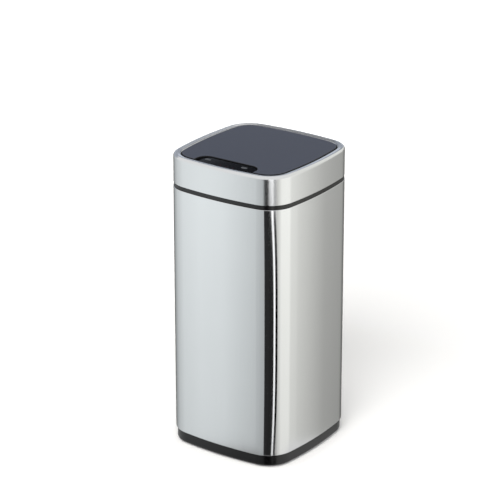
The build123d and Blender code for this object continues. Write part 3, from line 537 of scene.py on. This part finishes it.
class Wardrobe:
    """Materials of all the record's slots, each built once."""

    def __init__(self) -> None:
        """Build a material for every slot."""
        self.materials = {slot: finish.material() for slot, finish in SLOT_FINISHES.items()}
        self.slots = {part["node"]: part["material_slot"] for part in frame["record"]["subparts"]}
        self.extras = {finish.name: finish.material() for finish in (ROLLED_STEEL, KEY_INK, SENSOR_WINDOW)}

    def dress_nodes(self) -> None:
        """Give each CAD node the material of its own slot."""
        for name, node in frame["nodes"].items():
            dress(node, self.materials[self.slots[name]])

    def dress_piece(self, piece: bpy.types.Object, slot: str, finish: Optional[Finish] = None) -> None:
        """Give a new piece its material: the slot's own, or a finish of its own within that slot.

        Args:
            piece: the new piece.
            slot: the record's material slot.
            finish: a finish of its own within that slot, or None for the slot's.
        """
        dress(piece, self.extras[finish.name] if finish else self.materials[slot])


@dataclass
class SteelBody:
    """Brushed steel wrap with its hems and the welded seam down the back.

    Lengths are in millimetres.

    Attributes:
        plan: the bin's plan outline.
        wardrobe: the materials.
        sheet: thickness of the sheet.
        top_hem: depth of the hem at the top.
        foot_hem: depth of the hem at the foot.
        edge_round: bend radius of both hems.
        edge_steps: segments of that bend.
        seam_half_width: half the width of the weld.
        seam_depth: how far the dressed weld lies under the sheet's face.
        seam_reach: half the width of the strip of back wall that holds the seam.
        wall_depth: how far in from the back's highest point the back wall is looked for.
    """

    plan: Plan
    wardrobe: Wardrobe
    sheet: float = 1.0
    top_hem: float = 6.0
    foot_hem: float = 9.0
    edge_round: float = 0.8
    edge_steps: int = 4
    seam_half_width: float = 0.9
    seam_depth: float = 0.14
    seam_reach: float = 30.0
    wall_depth: float = 3.0

    def build(self) -> bpy.types.Object:
        """Sweep the wrap and press the seam into its back.

        Returns:
            The finished piece.
        """
        low, high = (corner.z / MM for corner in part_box("body_shell"))
        section = [
            Corner(self.top_hem, high - self.sheet), Corner(self.top_hem, high),
            Corner(0, high, self.edge_round, self.edge_steps),
            Corner(0, low, self.edge_round, self.edge_steps),
            Corner(self.foot_hem, low), Corner(self.foot_hem, low + self.sheet),
            Corner(self.sheet, low + self.sheet), Corner(self.sheet, high - self.sheet),
        ]
        piece = self.plan.sweep("steel_body", section)
        self._press_seam(piece)
        settle(piece)
        self.wardrobe.dress_piece(piece, "brushed_steel")
        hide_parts("body_shell")
        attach(piece, "bin")
        return piece

    def _press_seam(self, piece: bpy.types.Object) -> None:
        """Cut the back wall beside its middle and sink the line between the cuts."""
        back, reach = self.plan.half - self.wall_depth * MM, self.seam_reach * MM
        select_only(piece)
        bpy.ops.object.mode_set(mode="EDIT")
        for side in (-1, 1):
            pick(piece, Element.FACE, lambda middle, normal: middle.y > back and abs(middle.x) < reach)
            bpy.ops.mesh.bisect(plane_co=(side * self.seam_half_width * MM, 0, 0), plane_no=(1, 0, 0))
        outside = self.plan.half - 0.5 * self.sheet * MM
        pick(piece, Element.VERTEX, lambda at: at.y > outside and abs(at.x) < NEAR)
        bpy.ops.transform.translate(value=(0, -self.seam_depth * MM, 0))
        bpy.ops.object.mode_set(mode="OBJECT")


@dataclass
class Collar:
    """Steel collar with its rolled rim and turned-down inner lip.

    Lengths are in millimetres.

    Attributes:
        plan: the bin's plan outline.
        wardrobe: the materials.
        inset: how far its face lies inside the plan.
        sheet: thickness of the sheet.
        rim_rise: how far the rim's slope, drawn out to the collar's face, passes over its top.
        rim_fall: how much that slope drops down to the inner lip.
        rim_width: width of the rim seen from above.
        rim_round: radius of the rolled outer edge.
        lip_depth: depth of the inner lip.
        lip_round: bend radius at the inner lip.
        rim_steps: segments of the rim's bend, outside and inside the sheet.
        lip_steps: the same at the inner lip.
    """

    plan: Plan
    wardrobe: Wardrobe
    inset: float = 0.3
    sheet: float = 1.0
    rim_rise: float = 1.45
    rim_fall: float = 3.2
    rim_width: float = 16.3
    rim_round: float = 8.5
    lip_depth: float = 7.0
    lip_round: float = 2.0
    rim_steps: Tuple[int, int] = (12, 8)
    lip_steps: Tuple[int, int] = (6, 4)

    def build(self) -> bpy.types.Object:
        """Sweep the collar.

        Returns:
            The finished piece.
        """
        low, high = (corner.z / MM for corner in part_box("head_collar"))
        high += self.rim_rise
        lip = self.inset + self.rim_width
        lip_high = high - self.rim_fall
        inner_round = self.rim_round - self.sheet
        section = [
            Corner(self.inset, low), Corner(self.inset, high, self.rim_round, self.rim_steps[0]),
            Corner(lip, lip_high, self.lip_round, self.lip_steps[0]), Corner(lip, lip_high - self.lip_depth),
            Corner(lip - self.sheet, lip_high - self.lip_depth),
            Corner(lip - self.sheet, lip_high - self.sheet, self.lip_round - self.sheet, self.lip_steps[1]),
            Corner(self.inset + self.sheet, high - self.sheet, inner_round, self.rim_steps[1]),
            Corner(self.inset + self.sheet, low),
        ]
        piece = settle(self.plan.sweep("steel_collar", section))
        self.wardrobe.dress_piece(piece, "brushed_steel", ROLLED_STEEL)
        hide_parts("head_collar")
        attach(piece, "head")
        return piece


@dataclass
class Lid:
    """Top skin of the lid: a shallow tray turned over, with a notch for the console.

    Lengths are in millimetres.

    Attributes:
        plan: the bin's plan outline.
        wardrobe: the materials.
        edge_inset: how far its edge lies inside the plan.
        below_rim: how far its top lies under the rim's highest line.
        notch_gap: gap round the console.
        notch_corner: radius of the notch's back corners.
        corner_steps: segments of each of those corners.
        edge_round: radius of the top edge.
        edge_steps: segments of that edge.
        skin: thickness of the top.
        skirt: thickness of the edge wall.
    """

    plan: Plan
    wardrobe: Wardrobe
    edge_inset: float = 18.1
    below_rim: float = 0.4
    notch_gap: float = 1.5
    notch_corner: float = 22.5
    corner_steps: int = 10
    edge_round: float = 1.4
    edge_steps: int = 5
    skin: float = 2.5
    skirt: float = 2.0

    def build(self) -> bpy.types.Object:
        """Shape the skin from a plate of the lid's outline.

        Returns:
            The finished piece.
        """
        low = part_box("lid_panel")[0].z / MM
        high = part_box("head_collar")[1].z / MM - self.below_rim
        piece = self.plan.sweep("lid_skin", [Corner(self.edge_inset, low), Corner(self.edge_inset, high)])
        self._close(piece, low, high)
        self._cut_notch(piece)
        self._round_top(piece, high)
        self._hollow(piece, low, high)
        settle(piece)
        self.wardrobe.dress_piece(piece, "lid_plastic")
        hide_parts("lid_panel")
        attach(piece, "lid")
        return piece

    def _close(self, piece: bpy.types.Object, low: float, high: float) -> None:
        """Fill the outline at the top and at the bottom."""
        bpy.ops.object.mode_set(mode="EDIT")
        for height in (low, high):
            pick(piece, Element.VERTEX, lambda at, height=height: abs(at.z - height * MM) < NEAR)
            bpy.ops.mesh.edge_face_add()
        bpy.ops.mesh.select_all(action="SELECT")
        bpy.ops.mesh.normals_make_consistent(inside=False)
        bpy.ops.object.mode_set(mode="OBJECT")

    def _cut_notch(self, piece: bpy.types.Object) -> None:
        """Cut the console's place out of the front edge."""
        console_low, console_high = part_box("sensor_console")
        gap, front = self.notch_gap * MM, -2 * self.plan.half
        left, right, back = console_low.x - gap, console_high.x + gap, console_high.y + gap
        middle = ((left + right) / 2, (front + back) / 2, console_high.z)
        deselect()
        size = (right - left, back - front, back - front)
        bpy.ops.mesh.primitive_cube_add(size=1, location=middle, scale=size)
        cutter = bpy.context.object
        bpy.ops.object.transform_apply(location=True, rotation=True, scale=True)
        bpy.ops.object.mode_set(mode="EDIT")
        for x in (left, right):
            pick(cutter, Element.VERTEX, lambda at, x=x: abs(at.x - x) < NEAR and abs(at.y - back) < NEAR)
            bpy.ops.mesh.bevel(affect="EDGES", offset=self.notch_corner * MM, segments=self.corner_steps)
        bpy.ops.object.mode_set(mode="OBJECT")
        apply_modifier(piece, "BOOLEAN", {"operation": "DIFFERENCE", "solver": "EXACT", "object": cutter})
        deselect()
        cutter.select_set(True)
        bpy.ops.object.delete()

    def _round_top(self, piece: bpy.types.Object, high: float) -> None:
        """Round the edge of the top face, the notch's edge too."""
        bpy.context.view_layer.objects.active = piece
        bpy.ops.object.mode_set(mode="EDIT")
        pick(piece, Element.FACE,
             lambda middle, normal: normal.z > LEVEL and abs(middle.z - high * MM) < NEAR)
        bpy.ops.mesh.region_to_loop()
        bpy.ops.mesh.bevel(affect="EDGES", offset=self.edge_round * MM, segments=self.edge_steps)
        bpy.ops.object.mode_set(mode="OBJECT")

    def _hollow(self, piece: bpy.types.Object, low: float, high: float) -> None:
        """Sink the underside between the edge walls."""
        bpy.ops.object.mode_set(mode="EDIT")
        pick(piece, Element.FACE,
             lambda middle, normal: normal.z < -LEVEL and abs(middle.z - low * MM) < NEAR)
        bpy.ops.mesh.inset(thickness=self.skirt * MM)
        depth = (high - self.skin - low) * MM
        bpy.ops.mesh.extrude_region_move(TRANSFORM_OT_translate={"value": (0, 0, depth)})
        bpy.ops.object.mode_set(mode="OBJECT")


@dataclass
class ConsoleMarks:
    """Printed signs on the two keys, and the dark windows over the diodes.

    Lengths are in millimetres.

    Attributes:
        wardrobe: the materials.
        fall: how much the console's face drops from its back to its front.
        sign_size: radius of a sign's arrow.
        sign_aside: how far a sign stands beside its key's middle.
        sign_rise: height of a sign's middle over the console's face.
        bar_radius: radius of the square that a sign's bar is drawn out from, in arrow sizes.
        bar_aside: how far the bar stands beside the sign's middle, in arrow sizes.
        bar_shape: how the square is drawn out along X and Y.
        print_height: half the thickness of the ink and of the windows.
        window_radius: radius of a diode's window.
        window_rise: height of a window's middle over the console's face.
        window_sides: segments round a window.
    """

    wardrobe: Wardrobe
    fall: float = 5.0
    sign_size: float = 1.5
    sign_aside: float = 3.0
    sign_rise: float = 0.43
    bar_radius: float = 0.7
    bar_aside: float = 1.4
    bar_shape: Tuple[float, float] = (0.5, 1.5)
    print_height: float = 0.06
    window_radius: float = 1.7
    window_rise: float = 0.04
    window_sides: int = 24

    @property
    def slope(self) -> float:
        """Slope of the console's face, in radians."""
        low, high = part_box("sensor_console")
        return atan2(self.fall * MM, high.y - low.y)

    def build(self) -> List[bpy.types.Object]:
        """Build the signs and the windows.

        Returns:
            The finished pieces.
        """
        pieces = [self._sign("open_button", "open_key", "open_sign", 1),
                  self._sign("close_button", "close_key", "close_sign", -1)]
        low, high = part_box("sensor_diodes")
        middle, half = (low.y + high.y) / 2, (high.y - low.y) / 2
        left, right = low.x + half, high.x - half
        for side, x in (("left", left), ("middle", (left + right) / 2), ("right", right)):
            pieces.append(self._window("window_" + side, x, middle))
        return pieces

    def _face_height(self, y: float) -> float:
        """Height of the console's face at a place along Y."""
        low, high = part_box("sensor_console")
        return high.z - (high.y - y) * self.fall * MM / (high.y - low.y)

    def _plate(self, name: str, sides: int, radius: float, place: Place, turn: float) -> bpy.types.Object:
        """Thin plate with a regular outline on the console's slope.

        Args:
            name: the piece's name.
            sides: corners of its outline.
            radius: radius of its outline, in metres.
            place: its middle.
            turn: turn about its own upright axis, in radians.

        Returns:
            The plate, unfinished.
        """
        deselect()
        bpy.ops.mesh.primitive_circle_add(vertices=sides, radius=radius, fill_type="NGON", location=place,
                                          rotation=(self.slope, 0, turn))
        piece = bpy.context.object
        piece.name = name
        apply_modifier(piece, "SOLIDIFY", {"thickness": 2 * self.print_height * MM, "offset": 0.0})
        return piece

    def _sign(self, node: str, body: str, name: str, way: int) -> bpy.types.Object:
        """Arrow with a bar beside it, printed on a key.

        Args:
            node: the key's node.
            body: the body that it rides on.
            name: the new piece's name.
            way: 1 for an arrow away from the user, -1 for one towards the user.

        Returns:
            The finished piece.
        """
        low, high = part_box(node)
        middle = (low + high) / 2
        height = self._face_height(middle.y) + self.sign_rise * MM
        size = self.sign_size * MM
        turn = 0.0 if way > 0 else pi
        across = middle.x + way * self.sign_aside * MM
        arrow = self._plate(name, 3, size, (across - size, middle.y, height), turn)
        beside = (across + self.bar_aside * size, middle.y, height)
        bar = self._plate(name + "_bar", 4, size * self.bar_radius, beside, pi / 4)
        bar.scale = (*self.bar_shape, 1.0)
        deselect()
        bar.select_set(True)
        arrow.select_set(True)
        bpy.context.view_layer.objects.active = arrow
        bpy.ops.object.join()
        settle(arrow)
        self.wardrobe.dress_piece(arrow, "key_plastic", KEY_INK)
        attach(arrow, body)
        return arrow

    def _window(self, name: str, x: float, y: float) -> bpy.types.Object:
        """Round window over a diode."""
        place = (x, y, self._face_height(y) + self.window_rise * MM)
        piece = self._plate(name, self.window_sides, self.window_radius * MM, place, 0.0)
        settle(piece)
        self.wardrobe.dress_piece(piece, "console_plastic", SENSOR_WINDOW)
        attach(piece, "head")
        return piece


# Heights that the cards share, in metres. Seen from above, the upright steel mirrors what hangs between
# CARD_FOOT and CARD_HEAD, with the collar's part above FLAG_STEP. The base mirrors what is lower, the rim
# what reaches up to RIM_HEAD and the lid what reaches up to LID_HEAD.
FLOOR_FOOT = -3.2
CARD_FOOT = -1.385
FLAG_STEP = -0.46
CARD_HEAD = 0.9
RIM_HEAD = 1.35
LID_HEAD = 2.5


@dataclass(frozen=True)
class Card:
    """Studio card that only reflections see.

    Lengths are in metres.

    Attributes:
        name: the card's name.
        start: first azimuth, in degrees from straight ahead of the sensor side towards +X.
        end: last azimuth, in degrees.
        first: brightness at the first azimuth.
        last: brightness at the last azimuth.
        low: height of the lower edge.
        high: height of the upper edge.
        tint: sRGB colour of its light.
        layer: 0 for the farthest cards, and higher for those hung before them.
        bow: how far its upright edges swing back at the ends of the bow's height, in degrees.
        bow_limit: how far past those ends the swing goes on, as a multiple of half the bow's height.
    """

    name: str
    start: float
    end: float
    first: float
    last: float
    low: float = CARD_FOOT
    high: float = CARD_HEAD
    tint: str = "#FFFFFF"
    layer: int = 0
    bow: float = 0.0
    bow_limit: float = 1.0

    def swing(self, height: float) -> float:
        """Swing of the card's edges at a height, in radians."""
        part = min(abs(height - BOW_MIDDLE) / BOW_HALF, self.bow_limit)
        return -radians(self.bow) * part ** 3


# Middle and half height of the bowed cards' bow, in metres.
BOW_MIDDLE = -0.9
BOW_HALF = 0.425
# Tints of the soft boxes on the left, those on the right, and the cards behind.
COOL = "#F8FDFE"
WARM = "#FDFDF8"
SKY = "#E6EEFC"

CARDS = (
    Card("edge_flag_left", -155, -120, 0.03, 0.06, tint=COOL),
    Card("falloff_left", -120, -82, 0.24, 0.76, tint=COOL),
    Card("wing_left", -82, -54, 0.76, 0.93, tint=COOL),
    Card("softbox_left", -54, -42, 0.93, 1.05, tint=COOL),
    Card("softbox_left_middle", -42, -32, 1.05, 1.02, tint=COOL),
    Card("softbox_left_edge", -32, -15, 1.02, 0.73, tint=COOL),
    Card("wall_left", -15, 40, 0.73, 0.5, tint=COOL),
    Card("strip_light", 34, 63, 1.45, 1.45, layer=1, bow=8.5),
    Card("flag_wide", 17.5, 35, 0.03, 0.03, layer=3, bow=3),
    Card("flag_wide_edge", 34, 52.2, 0.025, 0.025, layer=4, bow=8.5, bow_limit=1.35),
    Card("flag_narrow", 58.8, 67.4, 0.0, 0.0, high=FLAG_STEP, layer=2, bow=9),
    Card("flag_narrow_head", 58.8, 66.4, 0.45, 0.45, low=FLAG_STEP, layer=2, bow=9),
    Card("softbox_right_edge", 60, 80, 0.66, 1.14, tint=WARM),
    Card("softbox_right", 80, 118, 1.19, 1.21, tint=WARM),
    Card("softbox_right_far", 118, 132, 1.18, 0.94, tint=WARM),
    Card("wall_right", 132, 148, 0.88, 0.53, tint=WARM),
    Card("wall_right_dim", 148, 170, 0.53, 0.38, tint=WARM),
    Card("edge_flag_right", 170, 205, 0.3, 0.08, tint=WARM),
    Card("floor_left", -155, -50, 0.85, 0.62, low=FLOOR_FOOT, high=CARD_FOOT),
    Card("floor_front", -50, 14, 0.42, 0.1, low=FLOOR_FOOT, high=CARD_FOOT),
    Card("floor_flag", 14, 66, 0.03, 0.03, low=FLOOR_FOOT, high=CARD_FOOT),
    Card("floor_right", 66, 205, 0.95, 0.95, low=FLOOR_FOOT, high=CARD_FOOT),
    Card("wall_right_high", 120, 190, 0.95, 0.95, low=CARD_HEAD, high=3.6, tint=WARM),
    Card("back_card_low", 200, 240, 0.55, 0.4, low=0.45, high=CARD_HEAD, layer=1, tint=SKY),
    Card("back_card_rim", 190, 275, 0.98, 0.62, low=CARD_HEAD, high=RIM_HEAD, tint=SKY),
    Card("back_card_lid", 190, 275, 0.4, 0.54, low=RIM_HEAD, high=LID_HEAD, tint=SKY),
    Card("ceiling_flag", 213, 228, 0.02, 0.02, low=LID_HEAD, high=2.92),
)


@dataclass(frozen=True)
class Lamp:
    """Square soft light.

    Lengths are in metres.

    Attributes:
        name: the light's name.
        place: where it hangs.
        size: its side.
        power: its power, in watts.
    """

    name: str
    place: Place
    size: float
    power: float


LAMPS = (
    Lamp("key", (0.55, -1.55, 2.5), 1.2, 58.0),
    Lamp("fill", (-2.4, -1.6, 2.4), 2.2, 22.0),
    Lamp("top", (0.2, 0.6, 3.2), 2.4, 22.0),
)


@dataclass
class Studio:
    """Floor, lights, cards and camera.

    Lengths are in metres.

    Attributes:
        card_radius: distance of the cards from the bin's axis.
        card_steps: segments of a card.
        card_spacing: distance between layers of cards.
        rungs: segments up a bowed card.
        low_level: part of a card's brightness that is left near its foot.
        high_level: the same part where the cards mirror in the head.
        fall_low: height below which only the low level is left.
        fall_high: height above which the high level holds.
        lamp_aim: height that the lamps are aimed at.
        shade_level: strength of the surroundings where matt surfaces are lit by them.
        floor_size: side of the floor.
        floor_glow: light that the floor adds for the eye near the bin.
        far_glow: the same, far behind it.
        glow_near: distance from the bin where the floor's glow begins to rise.
        glow_far: distance where it is full.
    """

    card_radius: float = 3.0
    card_steps: int = 12
    card_spacing: float = 0.02
    rungs: int = 20
    low_level: float = 0.88
    high_level: float = 1.07
    fall_low: float = -1.35
    fall_high: float = -0.45
    lamp_aim: float = 0.4
    shade_level: float = 0.42
    floor_size: float = 40.0
    floor_glow: float = 0.15
    far_glow: float = 0.9
    glow_near: float = 0.6
    glow_far: float = 3.0

    def build(self) -> None:
        """Set up the whole studio."""
        bpy.context.scene.view_settings.view_transform = "Standard"
        self._world()
        self._floor()
        for card in CARDS:
            self._card(card)
        for lamp in LAMPS:
            self._lamp(lamp)
        self._camera()

    def _world(self) -> None:
        """White background for the eye and for gloss, at a plain level for the object."""
        world = bpy.data.worlds.new("studio_air")
        bpy.context.scene.world = world
        world.use_nodes = True
        tree = world.node_tree
        tree.nodes.clear()
        seen = direct_rays(tree)
        strength = add_node(tree, "MapRange", {"To Min": self.shade_level, "To Max": 1.0}, {"Value": seen})
        sky = add_node(tree, "Background", {"Color": (1, 1, 1, 1)}, {"Strength": strength.outputs["Result"]})
        add_node(tree, "OutputWorld", links={"Surface": sky.outputs["Background"]})

    def _floor(self) -> None:
        """Pale floor that keeps the object's shadow."""
        deselect()
        bpy.ops.mesh.primitive_plane_add(size=self.floor_size, location=(0, 0, 0))
        floor = bpy.context.object
        floor.name = "floor"
        material, tree = empty_material("painted_board_white")
        seen = direct_rays(tree)
        paint = add_node(tree, "BsdfDiffuse", {"Color": linear("#EEEDEB")})
        place = add_node(tree, "TexCoord")
        away = add_node(tree, "VectorMath", {"operation": "LENGTH"}, {0: place.outputs["Object"]})
        span = {"From Min": self.glow_near, "From Max": self.glow_far,
                "To Min": self.floor_glow, "To Max": self.far_glow}
        level = add_node(tree, "MapRange", span, {"Value": away.outputs["Value"]})
        strength = add_node(tree, "Math", {"operation": "MULTIPLY"}, {0: level.outputs["Result"], 1: seen})
        glow = add_node(tree, "Emission", {"Color": (1, 1, 1, 1)}, {"Strength": strength.outputs[0]})
        both = add_node(tree, "AddShader", links={0: paint.outputs["BSDF"], 1: glow.outputs["Emission"]})
        add_node(tree, "OutputMaterial", links={"Surface": both.outputs["Shader"]})
        dress(floor, material)
        floor.visible_glossy = False

    def _card(self, card: Card) -> None:
        """Build one curved card.

        Args:
            card: its place and brightness.
        """
        heights = [card.low, card.high]
        if card.bow:
            reach = card.bow_limit * BOW_HALF
            rungs = range(self.rungs + 1)
            heights[1:1] = [BOW_MIDDLE + reach * (2 * rung / self.rungs - 1) for rung in rungs]
            heights = [height for height in heights if card.low <= height <= card.high]
        piece = draw_line(card.name, [self._card_place(card, height) for height in heights])
        turn = -radians(card.end - card.start)
        bpy.ops.mesh.spin(steps=self.card_steps, angle=turn, center=(0, 0, 0), axis=(0, 0, 1))
        bpy.ops.object.mode_set(mode="OBJECT")
        dress(piece, self._card_material(card))
        seen_by_gloss_only(piece)

    def _card_place(self, card: Card, height: float) -> Vector:
        """Place of a card's first upright edge at a height."""
        angle = radians(card.start) + card.swing(height)
        radius = self.card_radius - card.layer * self.card_spacing
        return Vector((radius * sin(angle), -radius * cos(angle), height))

    def _card_material(self, card: Card) -> bpy.types.Material:
        """Emission that runs evenly from one edge of a card to the other, and falls off towards the floor."""
        material, tree = empty_material(card.name)
        place = add_node(tree, "TexCoord")
        middle = radians((card.start + card.end) / 2)
        turned = add_node(tree, "Mapping", {"Rotation": (0, 0, -middle)}, {"Vector": place.outputs["Object"]})
        split = add_node(tree, "SeparateXYZ", links={"Vector": turned.outputs["Vector"]})
        ahead = add_node(tree, "Math", {"operation": "MULTIPLY", 1: -1.0}, {0: split.outputs["Y"]})
        angle = add_node(tree, "Math", {"operation": "ARCTAN2"}, {0: split.outputs["X"], 1: ahead.outputs[0]})
        half = radians(card.end - card.start) / 2
        ramp = {"From Min": -half, "From Max": half, "To Min": card.first, "To Max": card.last}
        along = add_node(tree, "MapRange", ramp, {"Value": angle.outputs[0]})
        fall = {"From Min": self.fall_low, "From Max": self.fall_high,
                "To Min": self.low_level, "To Max": self.high_level}
        down = add_node(tree, "MapRange", fall, {"Value": split.outputs["Z"]})
        strength = add_node(tree, "Math", {"operation": "MULTIPLY"},
                            {0: along.outputs[0], 1: down.outputs[0]})
        glow = add_node(tree, "Emission", {"Color": linear(card.tint)}, {"Strength": strength.outputs[0]})
        add_node(tree, "OutputMaterial", links={"Surface": glow.outputs["Emission"]})
        return material

    def _lamp(self, lamp: Lamp) -> None:
        """Hang a light, aimed at the bin.

        Args:
            lamp: its place, size and power.
        """
        light = bpy.data.lights.new(lamp.name, "AREA")
        light.shape = "SQUARE"
        light.size = lamp.size
        light.energy = lamp.power
        hung = bpy.data.objects.new(lamp.name, light)
        bpy.context.scene.collection.objects.link(hung)
        hung.location = lamp.place
        aim = Vector((0, 0, self.lamp_aim)) - Vector(lamp.place)
        hung.rotation_euler = aim.to_track_quat("-Z", "Y").to_euler()
        hung.visible_glossy = False

    def _camera(self) -> None:
        """Camera at the photograph's viewing angle."""
        view = bpy.data.cameras.new("camera")
        view.sensor_width = VIEW.sensor_width
        view.lens = VIEW.sensor_width * VIEW.focal_pixels / VIEW.frame_pixels
        view.clip_end = VIEW.far_limit
        camera = bpy.data.objects.new("camera", view)
        bpy.context.scene.collection.objects.link(camera)
        turn = radians(VIEW.azimuth)
        side, ahead = Vector((cos(turn), sin(turn), 0)), Vector((-sin(turn), cos(turn), 0))
        level = VIEW.distance * cos(radians(VIEW.elevation))
        rise = VIEW.aim_height + VIEW.distance * sin(radians(VIEW.elevation))
        camera.location = -VIEW.aside * side - level * ahead + Vector((0, 0, rise))
        camera.rotation_euler = (radians(90 - VIEW.pitch), 0, turn)
        bpy.context.scene.camera = camera


@dataclass(frozen=True)
class View:
    """Where the photograph was taken from.

    Attributes:
        azimuth: turn of the view about the upright axis, in degrees.
        elevation: height angle of the camera seen from the bin, in degrees.
        pitch: how far the camera looks down, in degrees.
        distance: metres from the bin.
        aim_height: height that the elevation is measured from, in metres.
        aside: shift of the bin's axis to the right in the view, in metres.
        focal_pixels: focal length in pixels of the frame.
        frame_pixels: width of the frame in pixels.
        sensor_width: width of the sensor, in millimetres.
        far_limit: how far the camera sees, in metres.
    """

    azimuth: float = 35.27
    elevation: float = 22.27
    pitch: float = 21.19
    distance: float = 5.0
    aim_height: float = 0.3202
    aside: float = 0.0195
    focal_pixels: float = 2358.0
    frame_pixels: float = 500.0
    sensor_width: float = 36.0
    far_limit: float = 60.0


VIEW = View()


def direct_rays(tree: bpy.types.NodeTree) -> bpy.types.NodeSocket:
    """Socket that is 1 for rays that the eye, gloss or clear matter sends, and 0 for the rest."""
    path = add_node(tree, "LightPath")
    pair = add_node(tree, "Math", {"operation": "MAXIMUM"},
                    {0: path.outputs["Is Camera Ray"], 1: path.outputs["Is Glossy Ray"]})
    return add_node(tree, "Math", {"operation": "MAXIMUM"},
                    {0: pair.outputs[0], 1: path.outputs["Is Transmission Ray"]}).outputs[0]


def seen_by_gloss_only(piece: bpy.types.Object) -> None:
    """Keep a studio card out of every ray but reflections."""
    for ray in ("camera", "diffuse", "transmission", "volume_scatter", "shadow"):
        setattr(piece, "visible_" + ray, False)


def main() -> None:
    """Build and dress the bin piece by piece, and report each."""
    logging.basicConfig(level=logging.INFO, format="%(message)s")
    Studio().build()
    wardrobe = Wardrobe()
    wardrobe.dress_nodes()
    plan = Plan(half=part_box("body_shell")[1].x)
    pieces = [assembly(plan, wardrobe).build() for assembly in (SteelBody, Collar, Lid)]
    pieces += ConsoleMarks(wardrobe).build()
    for piece in pieces:
        log.info("%s: %d faces", piece.name, len(piece.data.polygons))


if __name__ == "__main__":
    main()
